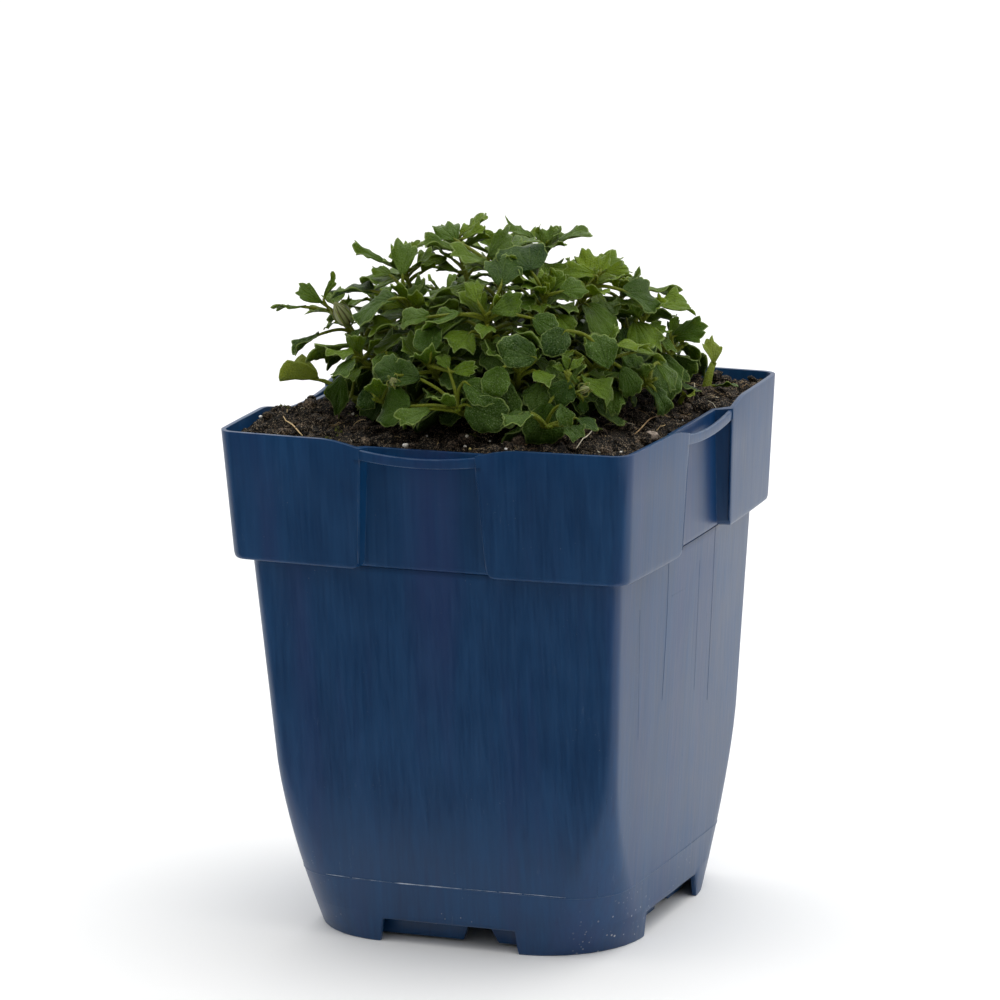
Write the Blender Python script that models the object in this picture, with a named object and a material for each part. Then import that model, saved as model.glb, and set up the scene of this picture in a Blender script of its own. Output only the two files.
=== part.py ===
# Potted bellflower: a square navy nursery pot, its soil and the leafy shoots that stand in it.
# Metres, +Z up. The origin is the middle of the pot's foot, on the surface it stands on.
# The front of the pot faces -Y. The label straps, recesses and foot notches repeat on all four sides.

import math
import random

import bmesh
import bpy
from mathutils import Matrix, Vector
from mathutils.bvhtree import BVHTree

mm = 0.001

# Pot
potHeight = 144.2 * mm
rimHalf = 60.0 * mm             # half the width over the corners of the rim
bandBottom = 108.3 * mm         # underside of the band
bandBevel = 1.7 * mm            # height of the band's rounded lower edge
bandFootHalf = 57.9 * mm        # half the width of the band just above its lower edge
bodyTopHalf = 53.4 * mm         # half the width of the body under the band
bodyFootHalf = 46.6 * mm        # half the width of the body at the surface
faceBow = 1.7 * mm              # how far the middle of a side stands out at the rim
potWall = 1.3 * mm
rimCornerRadius = 5.2 * mm
bodyCornerRadius = 4.5 * mm
footCornerRadius = 24.5 * mm
cornerFlareHeight = 55.0 * mm   # below this height the body's corners grow rounder
cornerSteps = 4
bodyLevels = [z * mm for z in (106.0, 54.0, 38.0, 26.0, 17.5, 8.0, 0.0)]

# Recess and strap in the middle of each side of the band
rimFlat = 28.0 * mm             # the rim starts to dip this far from the middle of a side
rimDipMiddle = 22.5 * mm
recessTopHalf = 17.0 * mm
recessFootHalf = 19.0 * mm
recessReturn = 0.6 * mm         # slant of the recess's side walls
sectionRound = 2.2 * mm         # how far the band's lower corners are cut back beside the recess
panelHeight = 141.7 * mm        # top edge of the panel at the back of the recess
panelTopDepth = 5.0 * mm
panelFootDepth = 3.7 * mm
rimDipHeight = 142.2 * mm       # height of the rim where the strap starts
strapHalf = 18.1 * mm
strapThickness = 1.2 * mm
strapSink = 0.15 * mm
strapEndTop = 142.0 * mm
strapMiddleTop = 140.4 * mm
strapEndFoot = 139.1 * mm
strapMiddleFoot = 137.7 * mm

# Foot of the pot
floorUnderside = 7.3 * mm
floorThickness = 1.3 * mm
notchHeight = 6.5 * mm
notchTopHalf = 19.6 * mm
notchFootHalf = 20.6 * mm
ribInset = 5.6 * mm             # from the skirt's outside to the rib's outside
ribFoot = 1.0 * mm
ribThickness = 1.3 * mm
ribGapMiddle = 6.5 * mm
ribGapHalf = 2.4 * mm
drainRadius = 4.5 * mm
drainReach = 27.0 * mm

# Soil
soilLevel = 140.4 * mm
soilGap = 0.45 * mm             # between the soil and the pot's inside
holeClearance = 0.35 * mm
holeSides = 5
holeAbove = 4.0 * mm            # how far a hole's cutter stands above the level of the soil
soilRingShares = (0.84, 0.68, 0.52)

# Plant
stemFootRadius = 1.05 * mm
stemTipRadius = 0.65 * mm
stemSpans = 3                   # straight stretches of a stem above its upright foot
stemSunk = 7.0 * mm
stemUpright = 9.5 * mm          # a stem rises straight for this far, so it fits a plain hole
stemLift = 2.3 * mm             # by which the lowest stems stay clear of the soil
stemStartShare = 0.46           # a stem starts this share of its tip's distance from the middle
petioleHalf = 0.58 * mm
petioleDeep = 0.44 * mm
bladeThickness = 0.62 * mm
deepNotch = 0.77                # reach of the notches between teeth, as a share of the teeth's
shallowNotch = 0.82
goldenAngle = math.radians(137.5)
flatAngle = math.radians(0.6)
leafSolver = 'MANIFOLD'         # EXACT leaves edges that four faces share where petioles meet in a stem
leafClearance = 0.22 * mm       # by which everything is fattened while the leaves find their places
bladeSpread = 1.04              # and how much wider a blade is taken then
budGap = 0.3 * mm               # between a bud and the end of its stalk
budShape = ((0.0, 0.36), (0.18, 0.80), (0.5, 1.0), (0.8, 0.62), (1.0, 0.16))
sevenToothWidth = 15.7 * mm     # leaves wider than this have seven teeth, all others five
placeTries = 110                # how often a leaf is tried at another turn, and when it is tried smaller
smallerAfter = 60
plantReach = 61.0 * mm
insideRim = 51.5 * mm           # leaves further out than this stay above the rim
rimClearance = 2.6 * mm
soilClearance = 1.0 * mm

# Each shoot: the place of its tip in mm, its number of leaves and the width of its largest leaf in mm.
# The first nineteen are the shoots that the front shows, the others fill the back the same way.
shootPlan = [
    ((-14, 3, 187), 8, 13.0),
    ((5, -13, 184), 8, 14.5),
    ((-28, -4, 181), 8, 13.0),
    ((-44, -14, 169), 7, 11.0),
    ((26, 2, 178), 8, 13.0),
    ((38, 14, 168), 8, 12.5),
    ((45, 22, 158), 6, 12.5),
    ((8, -30, 174), 8, 14.5),
    ((20, -36, 161), 6, 14.5),
    ((-6, -39, 162), 7, 14.0),
    ((-19, -44, 152), 6, 13.5),
    ((33, -33, 156), 6, 13.0),
    ((38, -19, 163), 7, 13.0),
    ((47, -7, 154), 6, 12.5),
    ((-31, -30, 161), 6, 14.0),
    ((20, -16, 178), 7, 13.5),
    ((-20, -19, 174), 7, 14.0),
    ((6, -47, 151), 6, 14.0),
    ((32, -46, 148), 6, 14.0),
    ((-43, 12, 167), 5, 13.0),
    ((-30, 28, 168), 7, 13.5),
    ((-9, 24, 181), 7, 13.5),
    ((9, 12, 186), 6, 13.5),
    ((12, 34, 172), 7, 14.0),
    ((28, 22, 172), 5, 13.0),
    ((-14, 43, 157), 5, 13.5),
    ((34, 40, 153), 5, 13.0),
    ((-42, 34, 153), 5, 13.0),
    ((9, 49, 151), 5, 13.5),
    ((-50, -30, 150), 5, 13.0),
]

# Each lone plantlet: the foot of its stem and the end of it in mm, and its leaves, each with its turn,
# pitch and roll in degrees, its width in mm and how much it is folded.
plantletPlan = [
    ("young_leaf", (-34, -16), (-45.5, -19.5, 151.0), [(184, 22, 62, 10.5, 0.85)]),
    ("seedling", (46, 41), (47, 41, 149.5), [(-62, 34, 0, 5.2, 0.25), (18, 2, 0, 6.4, 0.12)]),
    ("sprout", (45, 19), (46.5, 18.0, 144.6), [(-50, 12, 0, 4.4, 0.2)]),
]

# Each bud: the shoot it hangs on, where along its stem, the tip of the bud in mm, its length and radius in mm.
budPlan = [
    ("bud_left", 3, 0.70, (-41.0, -20.5, 173.5), 8.5, 2.5),
    ("bud_front", 10, 0.55, (-12.0, -49.0, 159.5), 4.6, 1.7),
    ("bud_right", 11, 0.62, (40.5, -37.5, 157.5), 4.6, 1.7),
]


def clearScene():
    for item in list(bpy.data.objects):
        bpy.data.objects.remove(item, do_unlink=True)


def makeCollection(name):
    collection = bpy.data.collections.new(name)
    bpy.context.scene.collection.children.link(collection)
    return collection


def makeMaterial(name, colour, roughness, metallic=0.0):
    material = bpy.data.materials.new(name)
    material.use_nodes = True
    shader = material.node_tree.nodes["Principled BSDF"]
    shader.inputs["Base Color"].default_value = (*colour, 1.0)
    shader.inputs["Roughness"].default_value = roughness
    shader.inputs["Metallic"].default_value = metallic
    return material


def paint(item, material):
    item.data.materials.clear()
    item.data.materials.append(material)


def objectFromBmesh(name, bm, collection):
    bmesh.ops.recalc_face_normals(bm, faces=bm.faces)
    mesh = bpy.data.meshes.new(name)
    bm.to_mesh(mesh)
    bm.free()
    item = bpy.data.objects.new(name, mesh)
    collection.objects.link(item)
    return item


def bearings(row):
    # How far round the middle each point of an outline stands, never falling from its first point on.
    found = []
    for vert in row:
        angle = math.atan2(vert.co.y, vert.co.x)
        if found and angle < found[-1] - math.pi:
            angle += 2 * math.pi
        found.append(max(angle, found[-1]) if found else angle)
    return found


def joinRows(bm, low, high):
    # A strip between two closed outlines; where their counts differ, points are met in turn.
    if len(low) == len(high):
        for i in range(len(low)):
            j = (i + 1) % len(low)
            bm.faces.new((low[i], low[j], high[j]))
            bm.faces.new((low[i], high[j], high[i]))
        return
    lowTurns = bearings(low)
    highTurns = bearings(high)
    shift = 2 * math.pi * round((lowTurns[0] - highTurns[0]) / (2 * math.pi))
    lowTurns.append(lowTurns[0] + 2 * math.pi)
    highTurns = [turn + shift for turn in highTurns]
    highTurns.append(highTurns[0] + 2 * math.pi)
    i = 0
    j = 0
    while i < len(low) or j < len(high):
        a = low[i % len(low)]
        b = high[j % len(high)]
        lowNext = lowTurns[i + 1] if i < len(low) else math.inf
        highNext = highTurns[j + 1] if j < len(high) else math.inf
        if lowNext <= highNext:
            bm.faces.new((a, low[(i + 1) % len(low)], b))
            i += 1
        else:
            bm.faces.new((a, high[(j + 1) % len(high)], b))
            j += 1


def fillBetween(bm, outer, inner):
    # A nearly level strip between two outlines, one of which has steps that can't be met in turn.
    edges = []
    for row in (outer, inner):
        for a, b in zip(row, row[1:] + row[:1]):
            edges.append(bm.edges.get((a, b)) or bm.edges.new((a, b)))
    bmesh.ops.triangle_fill(bm, use_beauty=True, edges=edges, normal=(0.0, 0.0, 1.0))


def loftObject(name, rings, collection, hollow=False, levelStrip=None):
    # Closed outlines, one after the other, joined by strips. A hollow loft runs back to its first
    # outline, and any other has a flat cap at each end.
    bm = bmesh.new()
    rows = [[bm.verts.new(point) for point in ring] for ring in rings]
    for index, (low, high) in enumerate(zip(rows, rows[1:])):
        if index == levelStrip:
            fillBetween(bm, low, high)
        else:
            joinRows(bm, low, high)
    if hollow:
        joinRows(bm, rows[-1], rows[0])
    else:
        bm.faces.new(rows[0])
        bm.faces.new(rows[-1])
    return objectFromBmesh(name, bm, collection)


def hideCutter(item):
    item.hide_render = True
    item.display_type = 'WIRE'


def applyBoolean(target, collection, operation, solver='EXACT'):
    # One Boolean takes the whole collection, whose objects are then removed.
    modifier = target.modifiers.new("Join" if operation == 'UNION' else "Cut", 'BOOLEAN')
    modifier.operation = operation
    modifier.operand_type = 'COLLECTION'
    modifier.collection = collection
    modifier.solver = solver
    bpy.context.view_layer.update()
    graph = bpy.context.evaluated_depsgraph_get()
    result = bpy.data.meshes.new_from_object(target.evaluated_get(graph))
    target.modifiers.remove(modifier)
    old = target.data
    target.data = result
    bpy.data.meshes.remove(old)
    for item in list(collection.objects):
        bpy.data.objects.remove(item, do_unlink=True)


def dropFlatEdges(mesh):
    # Faces that lie in one plane become one face again.
    bm = bmesh.new()
    bm.from_mesh(mesh)
    bmesh.ops.dissolve_limit(bm, angle_limit=flatAngle, verts=bm.verts, edges=bm.edges)
    bm.to_mesh(mesh)
    bm.free()


def blend(a, b, share):
    return a + (b - a) * share


# The pot's outline

def cornerRadiusAt(z):
    if z >= bandBottom:
        return blend(bodyCornerRadius, rimCornerRadius, (z - bandBottom) / (potHeight - bandBottom))
    share = max(0.0, 1.0 - max(z, 0.0) / cornerFlareHeight)
    return bodyCornerRadius + (footCornerRadius - bodyCornerRadius) * share ** 1.4


def bandHalfAt(z):
    return blend(bandFootHalf, rimHalf, (z - bandBottom) / (potHeight - bandBottom))


def bodyHalfAt(z):
    return blend(bodyFootHalf, bodyTopHalf, z / bandBottom)


def bowAt(along, half, z):
    # The sides stand out a little in the middle, less towards the foot.
    share = max(0.0, min(1.0, z / bandBottom))
    return faceBow * share * max(0.0, 1.0 - (along / half) ** 2)


def recessHalfAt(z):
    share = (z - bandBottom - bandBevel) / (panelHeight - bandBottom - bandBevel)
    return blend(recessFootHalf, recessTopHalf, max(0.0, share))


def rimHeightAt(along):
    distance = abs(along)
    if distance >= rimFlat:
        return potHeight
    share = (rimFlat - distance) / (rimFlat - recessTopHalf)
    return potHeight - (potHeight - rimDipHeight) * min(1.0, share) ** 1.5


def sideStations(z, isBand, edgeExtra):
    # Points along one side: distance from its middle, and how deep each lies behind the face.
    recess = (recessHalfAt(z) if isBand else recessFootHalf) + edgeExtra
    depth = 0.0
    if isBand:
        depth = blend(panelFootDepth, panelTopDepth, (z - bandBottom) / (panelHeight - bandBottom))
    half = [(rimFlat, 0.0), (rimDipMiddle, 0.0), (recess, 0.0), (recess - recessReturn, depth)]
    left = [(-along, deep) for along, deep in half]
    right = [(along, deep) for along, deep in reversed(half)]
    return left + [(0.0, depth)] + right


def potRing(z, isBand, inset=0.0, half=None, edgeExtra=0.0, followRim=False, plain=False):
    # One outline of the pot, pulled in by inset. followRim lets its height follow the dipping rim,
    # and plain leaves out the points of the recess.
    if half is None:
        half = bandHalfAt(z) if isBand else bodyHalfAt(z)
    half -= inset
    radius = max(cornerRadiusAt(z) - inset, 1.0 * mm)
    ring = []
    for quarter in range(4):
        turn = Matrix.Rotation(quarter * math.pi / 2, 3, 'Z')
        stations = [(0.0, 0.0)] if plain else sideStations(z, isBand, edgeExtra)
        for along, deep in stations:
            if isBand and 0.0 < abs(along) < rimDipMiddle:
                along += math.copysign(inset, along)
            outward = half - deep + bowAt(along, half, z)
            height = z
            if followRim:
                height = panelHeight if deep > 0.0 else rimHeightAt(along)
            ring.append(turn @ Vector((along, -outward, height)))
        middle = half - radius
        for step in range(cornerSteps + 1):
            angle = -math.pi / 2 + step * (math.pi / 2) / cornerSteps
            place = Vector((middle + radius * math.cos(angle), -middle + radius * math.sin(angle), z))
            ring.append(turn @ place)
    return ring


def atHeight(ring, z):
    return [Vector((point.x, point.y, z)) for point in ring]


def makePotWall(collection):
    # A single skin: its outside from the rim down to the surface, then its inside back up.
    outside = [
        potRing(potHeight, True, followRim=True),
        potRing(bandBottom + bandBevel, True),
        potRing(bandBottom, True, half=bandFootHalf - 0.5 * mm, edgeExtra=sectionRound),
        potRing(bandBottom, False, edgeExtra=sectionRound),
    ]
    inside = []
    for z in bodyLevels:
        outside.append(potRing(z, False, plain=True))
        inside.append(potRing(z, False, inset=potWall, plain=True))
    inside.reverse()
    ledge = bandBottom + potWall
    inside.append(atHeight(potRing(bandBottom, False, inset=potWall, edgeExtra=potWall), ledge))
    inside.append(atHeight(potRing(bandBottom + bandBevel, True, inset=potWall), ledge + 0.1 * mm))
    inside.append(potRing(potHeight, True, inset=potWall, followRim=True))
    return loftObject("pot", outside + inside, collection, hollow=True)


def makeFloor(collection):
    low = potRing(floorUnderside, False, inset=0.65 * mm, plain=True)
    high = potRing(floorUnderside + floorThickness, False, inset=0.65 * mm, plain=True)
    return loftObject("floor", [low, high], collection)


def makeRib(collection):
    # The wall that stands under the floor, a little inside the skirt.
    outer = potRing(ribFoot, False, inset=ribInset, plain=True)
    inner = potRing(ribFoot, False, inset=ribInset + ribThickness, plain=True)
    top = floorUnderside + 0.4 * mm
    rings = [outer, atHeight(outer, top), atHeight(inner, top), inner]
    return loftObject("rib", rings, collection, hollow=True)


def makeStrap(quarter, collection):
    # A thin band across the top of the recess, hanging down a little in the middle.
    turn = Matrix.Rotation(quarter * math.pi / 2, 3, 'Z')
    rings = []
    for step in range(7):
        along = blend(-strapHalf, strapHalf, step / 6)
        sag = 1.0 - (along / strapHalf) ** 2
        top = blend(strapEndTop, strapMiddleTop, sag)
        foot = blend(strapEndFoot, strapMiddleFoot, sag)
        ring = []
        for z, deep in ((top, 0.0), (top, strapThickness), (foot, strapThickness), (foot, 0.0)):
            half = bandHalfAt(z)
            outward = half + bowAt(along, half, z) - strapSink - deep
            ring.append(turn @ Vector((along, -outward, z)))
        rings.append(ring)
    return loftObject("strap", rings, collection)


def makeBox(name, low, high, collection, turn=None, topShrink=0.0):
    # A box between two corners; topShrink narrows its upper face along X.
    bm = bmesh.new()
    bmesh.ops.create_cube(bm, size=1.0)
    size = [h - l for l, h in zip(low, high)]
    middle = [(h + l) / 2 for l, h in zip(low, high)]
    for vert in bm.verts:
        upper = vert.co.z > 0.0
        vert.co = Vector([m + s * c for m, s, c in zip(middle, size, vert.co)])
        if upper and topShrink:
            vert.co.x -= math.copysign(topShrink, vert.co.x)
        if turn is not None:
            vert.co = turn @ vert.co
    item = objectFromBmesh(name, bm, collection)
    hideCutter(item)
    return item


def makeDrain(x, y, collection):
    bm = bmesh.new()
    place = Matrix.Translation((x, y, floorUnderside + floorThickness / 2))
    bmesh.ops.create_cone(bm, cap_ends=True, segments=10, radius1=drainRadius, radius2=drainRadius,
                          depth=floorThickness + 3.0 * mm, matrix=place)
    item = objectFromBmesh("drain", bm, collection)
    hideCutter(item)
    return item


def makePot(parts, pieces, cutters):
    pot = makePotWall(parts)
    makeFloor(pieces)
    makeRib(pieces)
    for quarter in range(4):
        makeStrap(quarter, pieces)
    applyBoolean(pot, pieces, 'UNION')
    skirt = bodyFootHalf
    for quarter in range(4):
        turn = Matrix.Rotation(quarter * math.pi / 2, 3, 'Z')
        makeBox("notch", (-notchFootHalf, -skirt - 4 * mm, -3 * mm),
                (notchFootHalf, -skirt + 2.6 * mm, notchHeight), cutters, turn, notchFootHalf - notchTopHalf)
        makeBox("ribGap", (ribGapMiddle - ribGapHalf, -skirt + ribInset - 1.2 * mm, 0.0),
                (ribGapMiddle + ribGapHalf, -skirt + ribInset + ribThickness + 1.5 * mm,
                 floorUnderside - 0.3 * mm), cutters, turn)
    for x in (-drainReach, 0.0, drainReach):
        for y in (-drainReach, 0.0, drainReach):
            makeDrain(x, y, cutters)
    applyBoolean(pot, cutters, 'DIFFERENCE')
    return pot


# The soil

def soilHeight(x, y):
    # Lumpy peat, heaped a little in the left front corner.
    u = x / mm
    v = y / mm
    lumps = 0.9 * math.sin(0.19 * u + 0.7) * math.cos(0.17 * v - 0.4)
    lumps += 0.6 * math.sin(0.41 * u - 0.29 * v) + 0.35 * math.cos(0.53 * v + 0.33 * u + 1.1)
    heap = 3.2 * math.exp(-((u + 52) ** 2 + (v + 26) ** 2) / 230.0)
    back = 1.6 * math.exp(-((u - 44) ** 2 + (v - 40) ** 2) / 260.0)
    edge = max(abs(u), abs(v)) / 60.0
    return soilLevel + (lumps + heap + back - 1.0 * max(0.0, edge - 0.8) * 5.0) * mm


def makeSoil(parts, cutters, feet):
    inset = potWall + soilGap
    rings = []
    floorTop = floorUnderside + floorThickness
    rings.append(potRing(floorTop + soilGap, False, inset=inset, plain=True))
    for z in (26.0, 54.0, 106.0):
        rings.append(potRing(z * mm, False, inset=inset, plain=True))
    ledge = bandBottom + potWall + soilGap
    rings.append(atHeight(potRing(bandBottom, False, inset=inset, edgeExtra=inset), ledge))
    rings.append(atHeight(potRing(bandBottom + bandBevel, True, inset=inset), ledge + 0.1 * mm))
    top = potRing(soilLevel, True, inset=inset)
    rings.append([Vector((p.x, p.y, soilHeight(p.x, p.y) - 0.4 * mm)) for p in top])
    plain = potRing(soilLevel, False, inset=inset, plain=True)
    for share in soilRingShares:
        level = soilLevel if share == soilRingShares[-1] else None
        rings.append([Vector((p.x * share, p.y * share, level or soilHeight(p.x * share, p.y * share)))
                      for p in plain])
    soil = loftObject("soil", rings, parts, levelStrip=len(rings) - len(soilRingShares) - 1)
    radius = (stemFootRadius + holeClearance) / math.cos(math.pi / holeSides)
    for foot in feet:
        bm = bmesh.new()
        z = soilLevel + (holeAbove - stemSunk - soilGap) / 2
        bmesh.ops.create_cone(bm, cap_ends=True, segments=holeSides, radius1=radius, radius2=radius,
                              depth=holeAbove + stemSunk + soilGap, matrix=Matrix.Translation((foot.x, foot.y, z)))
        item = objectFromBmesh("hole", bm, cutters)
        hideCutter(item)
    applyBoolean(soil, cutters, 'DIFFERENCE')
    return soil


# The plant

def tubeRings(points, radii, sides):
    # Outlines across a curved line, each turned square to it.
    rings = []
    across = Vector((1.0, 0.0, 0.0))
    for index, point in enumerate(points):
        before = points[max(index - 1, 0)]
        after = points[min(index + 1, len(points) - 1)]
        along = (after - before).normalized()
        across = (across - along * across.dot(along)).normalized()
        side = along.cross(across)
        ring = []
        for step in range(sides):
            angle = 2 * math.pi * step / sides
            ring.append(point + (across * math.cos(angle) + side * math.sin(angle)) * radii[index])
        rings.append(ring)
    return rings


def bezierPoint(a, b, c, d, t):
    s = 1.0 - t
    return a * (s * s * s) + b * (3 * s * s * t) + c * (3 * s * t * t) + d * (t * t * t)


def stemCurve(tip):
    # A stem rises straight out of the soil, leans out and turns up again at its tip.
    foot = Vector((tip.x * stemStartShare, tip.y * stemStartShare, soilLevel - stemSunk))
    start = foot + Vector((0.0, 0.0, stemUpright))
    height = tip.z - start.z
    outward = Vector((tip.x - foot.x, tip.y - foot.y, 0.0))
    lean = outward.normalized() if outward.length > 1.0 * mm else Vector((0.0, 0.0, 0.0))
    second = start + Vector((0.0, 0.0, height * 0.30 + stemLift)) + outward * 0.15
    third = tip - (lean * 0.45 + Vector((0.0, 0.0, 1.0))).normalized() * height * 0.35
    return foot, start, second, third


def stemLine(tip):
    foot, start, second, third = stemCurve(tip)
    return [foot] + [bezierPoint(start, second, third, tip, t / stemSpans) for t in range(stemSpans + 1)]


def stemPoint(tip, t):
    # A point on the middle of the stem, at a share of its way from the soil to its tip.
    line = stemLine(tip)[1:]
    span = min(int(t * stemSpans), stemSpans - 1)
    return line[span].lerp(line[span + 1], t * stemSpans - span)


def leafOutline(width, teeth):
    # A rounded leaf with blunt teeth, from the left of where the petiole joins round to its right.
    points = [(-petioleHalf, 0.0)]
    centre = 0.47 * width
    steps = 2 * teeth
    for index in range(steps + 1):
        angle = math.radians(blend(-148.0, 148.0, index / steps))
        reach = 0.5 * width * (1.0 + 0.10 * math.cos(angle))
        if index % 2 == 0 and 0 < index < steps:
            reach *= deepNotch if teeth == 5 else shallowNotch
        points.append((reach * math.sin(angle), centre + reach * math.cos(angle)))
    points.append((petioleHalf, 0.0))
    return points


def leafHeight(x, y, width, cup, fold):
    # The blade is folded a little along its middle and droops or cups towards its edge.
    u = x / width
    v = y / width
    return width * (fold * abs(u) + cup * max(0.0, v - 0.1) ** 2)


def leafMesh(width, teeth, cup, fold, frame, thickness, grow=1.0, stalk=None):
    # A toothed blade in triangles alike on both faces; stalk is the line that its petiole follows.
    bm = bmesh.new()
    outline = leafOutline(width, teeth)
    last = len(outline) - 1
    mitre = 0.0
    if stalk:
        arriving = frame.inverted() @ stalk[0]
        mitre = math.tan(0.5 * min(1.4, max(-1.4, math.atan2(-arriving.z, -arriving.y))))
    rows = []
    for level in (0.5 * thickness, -0.5 * thickness):
        row = []
        for index, (x, y) in enumerate(outline):
            place = Vector((x * grow, (y - 0.4 * width) * grow + 0.4 * width, 0.0))
            if index in (0, last):
                place.y -= level * mitre
            place.z = leafHeight(place.x, place.y, width, cup, fold) + level
            row.append(bm.verts.new(frame @ place))
        rows.append(row)
    tip = last // 2
    for row in rows:
        for i in range(1, tip):
            bm.faces.new((row[0], row[i], row[i + 1]))
        bm.faces.new((row[0], row[tip], row[last]))
        for i in range(tip, last - 1):
            bm.faces.new((row[last], row[i], row[i + 1]))
    upper, lower = rows
    for i in range(last):
        bm.faces.new((upper[i], upper[i + 1], lower[i + 1]))
        bm.faces.new((upper[i], lower[i + 1], lower[i]))
    ring = [upper[0], upper[last], lower[last], lower[0]]
    for step, point in enumerate(stalk or []):
        side = frame.to_3x3() @ Vector((1.0, 0.0, 0.0))
        along = (stalk[step - 1] - point if step else frame.translation - point).normalized()
        up = side.cross(along).normalized()
        slim = 0.65 if step == len(stalk) - 1 else 1.0
        corners = []
        for a, b in ((-1, 1), (1, 1), (1, -1), (-1, -1)):
            offset = side * (a * petioleHalf) + up * (b * petioleDeep)
            corners.append(bm.verts.new(point + offset * slim))
        for i in range(4):
            j = (i + 1) % 4
            bm.faces.new((ring[i], ring[j], corners[j]))
            bm.faces.new((ring[i], corners[j], corners[i]))
        ring = corners
    bm.faces.new(ring)
    return bm


def tubeMesh(points, radii, sides):
    bm = bmesh.new()
    rows = [[bm.verts.new(p) for p in ring] for ring in tubeRings(points, radii, sides)]
    for low, high in zip(rows, rows[1:]):
        for i in range(sides):
            j = (i + 1) % sides
            bm.faces.new((low[i], low[j], high[j]))
            bm.faces.new((low[i], high[j], high[i]))
    bm.faces.new(rows[0])
    bm.faces.new(rows[-1])
    return bm


def leafFrame(origin, azimuth, pitch, roll):
    # The blade lies along +Y of this frame and faces its +Z.
    turn = Matrix.Rotation(azimuth - math.pi / 2, 4, 'Z') @ Matrix.Rotation(pitch, 4, 'X')
    return Matrix.Translation(origin) @ turn @ Matrix.Rotation(roll, 4, 'Y')


def petiolePoints(root, azimuth, rise, length):
    outward = Vector((math.cos(azimuth), math.sin(azimuth), 0.0))
    start = outward * math.cos(rise) + Vector((0.0, 0.0, math.sin(rise)))
    bend = outward * math.cos(rise * 0.6) + Vector((0.0, 0.0, math.sin(rise * 0.6)))
    middle = root + start * (length * 0.55)
    return [root, middle, middle + bend * (length * 0.45)]


class Crowd:
    # Everything that already stands there, a little fattened, so that new leaves are kept clear of it.

    def __init__(self):
        self.trees = []

    def add(self, bm, owner):
        bm.verts.ensure_lookup_table()
        low = Vector([min(v.co[i] for v in bm.verts) for i in range(3)])
        high = Vector([max(v.co[i] for v in bm.verts) for i in range(3)])
        self.trees.append((BVHTree.FromBMesh(bm), low, high, owner))

    def meets(self, bm, spared):
        low = Vector([min(v.co[i] for v in bm.verts) for i in range(3)])
        high = Vector([max(v.co[i] for v in bm.verts) for i in range(3)])
        tree = BVHTree.FromBMesh(bm)
        for other, otherLow, otherHigh, owner in self.trees:
            if owner in spared:
                continue
            if any(low[i] > otherHigh[i] or high[i] < otherLow[i] for i in range(3)):
                continue
            if tree.overlap(other):
                return True
        return False


def standsFree(bm):
    # Clear of the soil, of the rim and within the plant's reach.
    for vert in bm.verts:
        place = vert.co
        if abs(place.x) > plantReach or abs(place.y) > plantReach:
            return False
        if place.z < soilHeight(place.x, place.y) + soilClearance:
            return False
        if max(abs(place.x), abs(place.y)) > insideRim and place.z < potHeight + rimClearance:
            return False
    return True


def bladeTurn(base, azimuth, share, draw):
    # A blade turns from its petiole's way towards the outside of the mound, and the lower it is on the
    # mound, the more it hangs. The youngest blades still point up.
    away = math.hypot(base.x, base.y)
    outward = math.atan2(base.y, base.x)
    off = (outward - azimuth + math.pi) % (2 * math.pi) - math.pi
    turned = azimuth + off * blend(0.6, 0.15, share) * min(1.0, away / (25 * mm))
    steep = math.pi / 2 - math.atan2(base.z - soilLevel, away)
    pitch = -steep * blend(0.78, 0.50, share) + math.radians(blend(0.0, 38.0, share ** 3))
    return turned, pitch + math.radians(draw.uniform(-16.0, 16.0))


def growLeaf(shoot, k, count, tip, largest, draw, crowd):
    # One leaf of a shoot: tried at several turns until it stands clear of everything else.
    share = k / max(count - 1, 1)
    age = 1.0 - share
    outwardAngle = math.atan2(tip.y, tip.x)
    width = largest * mm * (0.64 + 0.44 * age ** 0.7) * draw.uniform(0.94, 1.10)
    teeth = 7 if width > sevenToothWidth else 5
    turn = ((k * goldenAngle + shoot + math.pi) % (2 * math.pi)) - math.pi
    length = (3.2 + 10.5 * age) * mm * draw.uniform(0.9, 1.15)
    for attempt in range(placeTries):
        loose = 0.15 + 0.04 * attempt
        azimuth = outwardAngle + turn * blend(0.72, 1.0, share) + draw.uniform(-loose, loose)
        rise = math.radians(blend(34.0, 58.0, share) + draw.uniform(-12.0, 14.0) * (1 + attempt / 20))
        roll = math.radians(draw.uniform(-16.0, 16.0))
        along = 1.0 - 0.82 * age ** 1.5 + draw.uniform(-0.05, 0.02)
        size = width * (1.0 if attempt < smallerAfter else 0.85)
        cup = draw.uniform(-0.40, 0.05)
        fold = draw.uniform(0.04, 0.26)
        root = stemPoint(tip, max(0.05, min(0.985, along)))
        points = petiolePoints(root, azimuth, rise, length)
        frame = leafFrame(points[-1], *bladeTurn(points[-1], azimuth, share, draw), roll)
        blade = leafMesh(size, teeth, cup, fold, frame, bladeThickness + 2 * leafClearance, bladeSpread)
        free = standsFree(blade) and not crowd.meets(blade, {("stem", shoot)} if share > 0.8 else ())
        if free:
            stalk = tubeMesh([points[0], points[2]], [1.3 * petioleHalf + leafClearance] * 2, 4)
            free = not crowd.meets(stalk, {("stem", shoot), ("stalk", shoot)})
            if free:
                crowd.add(blade, ("blade", shoot))
                crowd.add(stalk, ("stalk", shoot))
            stalk.free()
        blade.free()
        if free:
            return dict(width=size, teeth=teeth, cup=cup, fold=fold, frame=frame, points=points)
    return None


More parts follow.
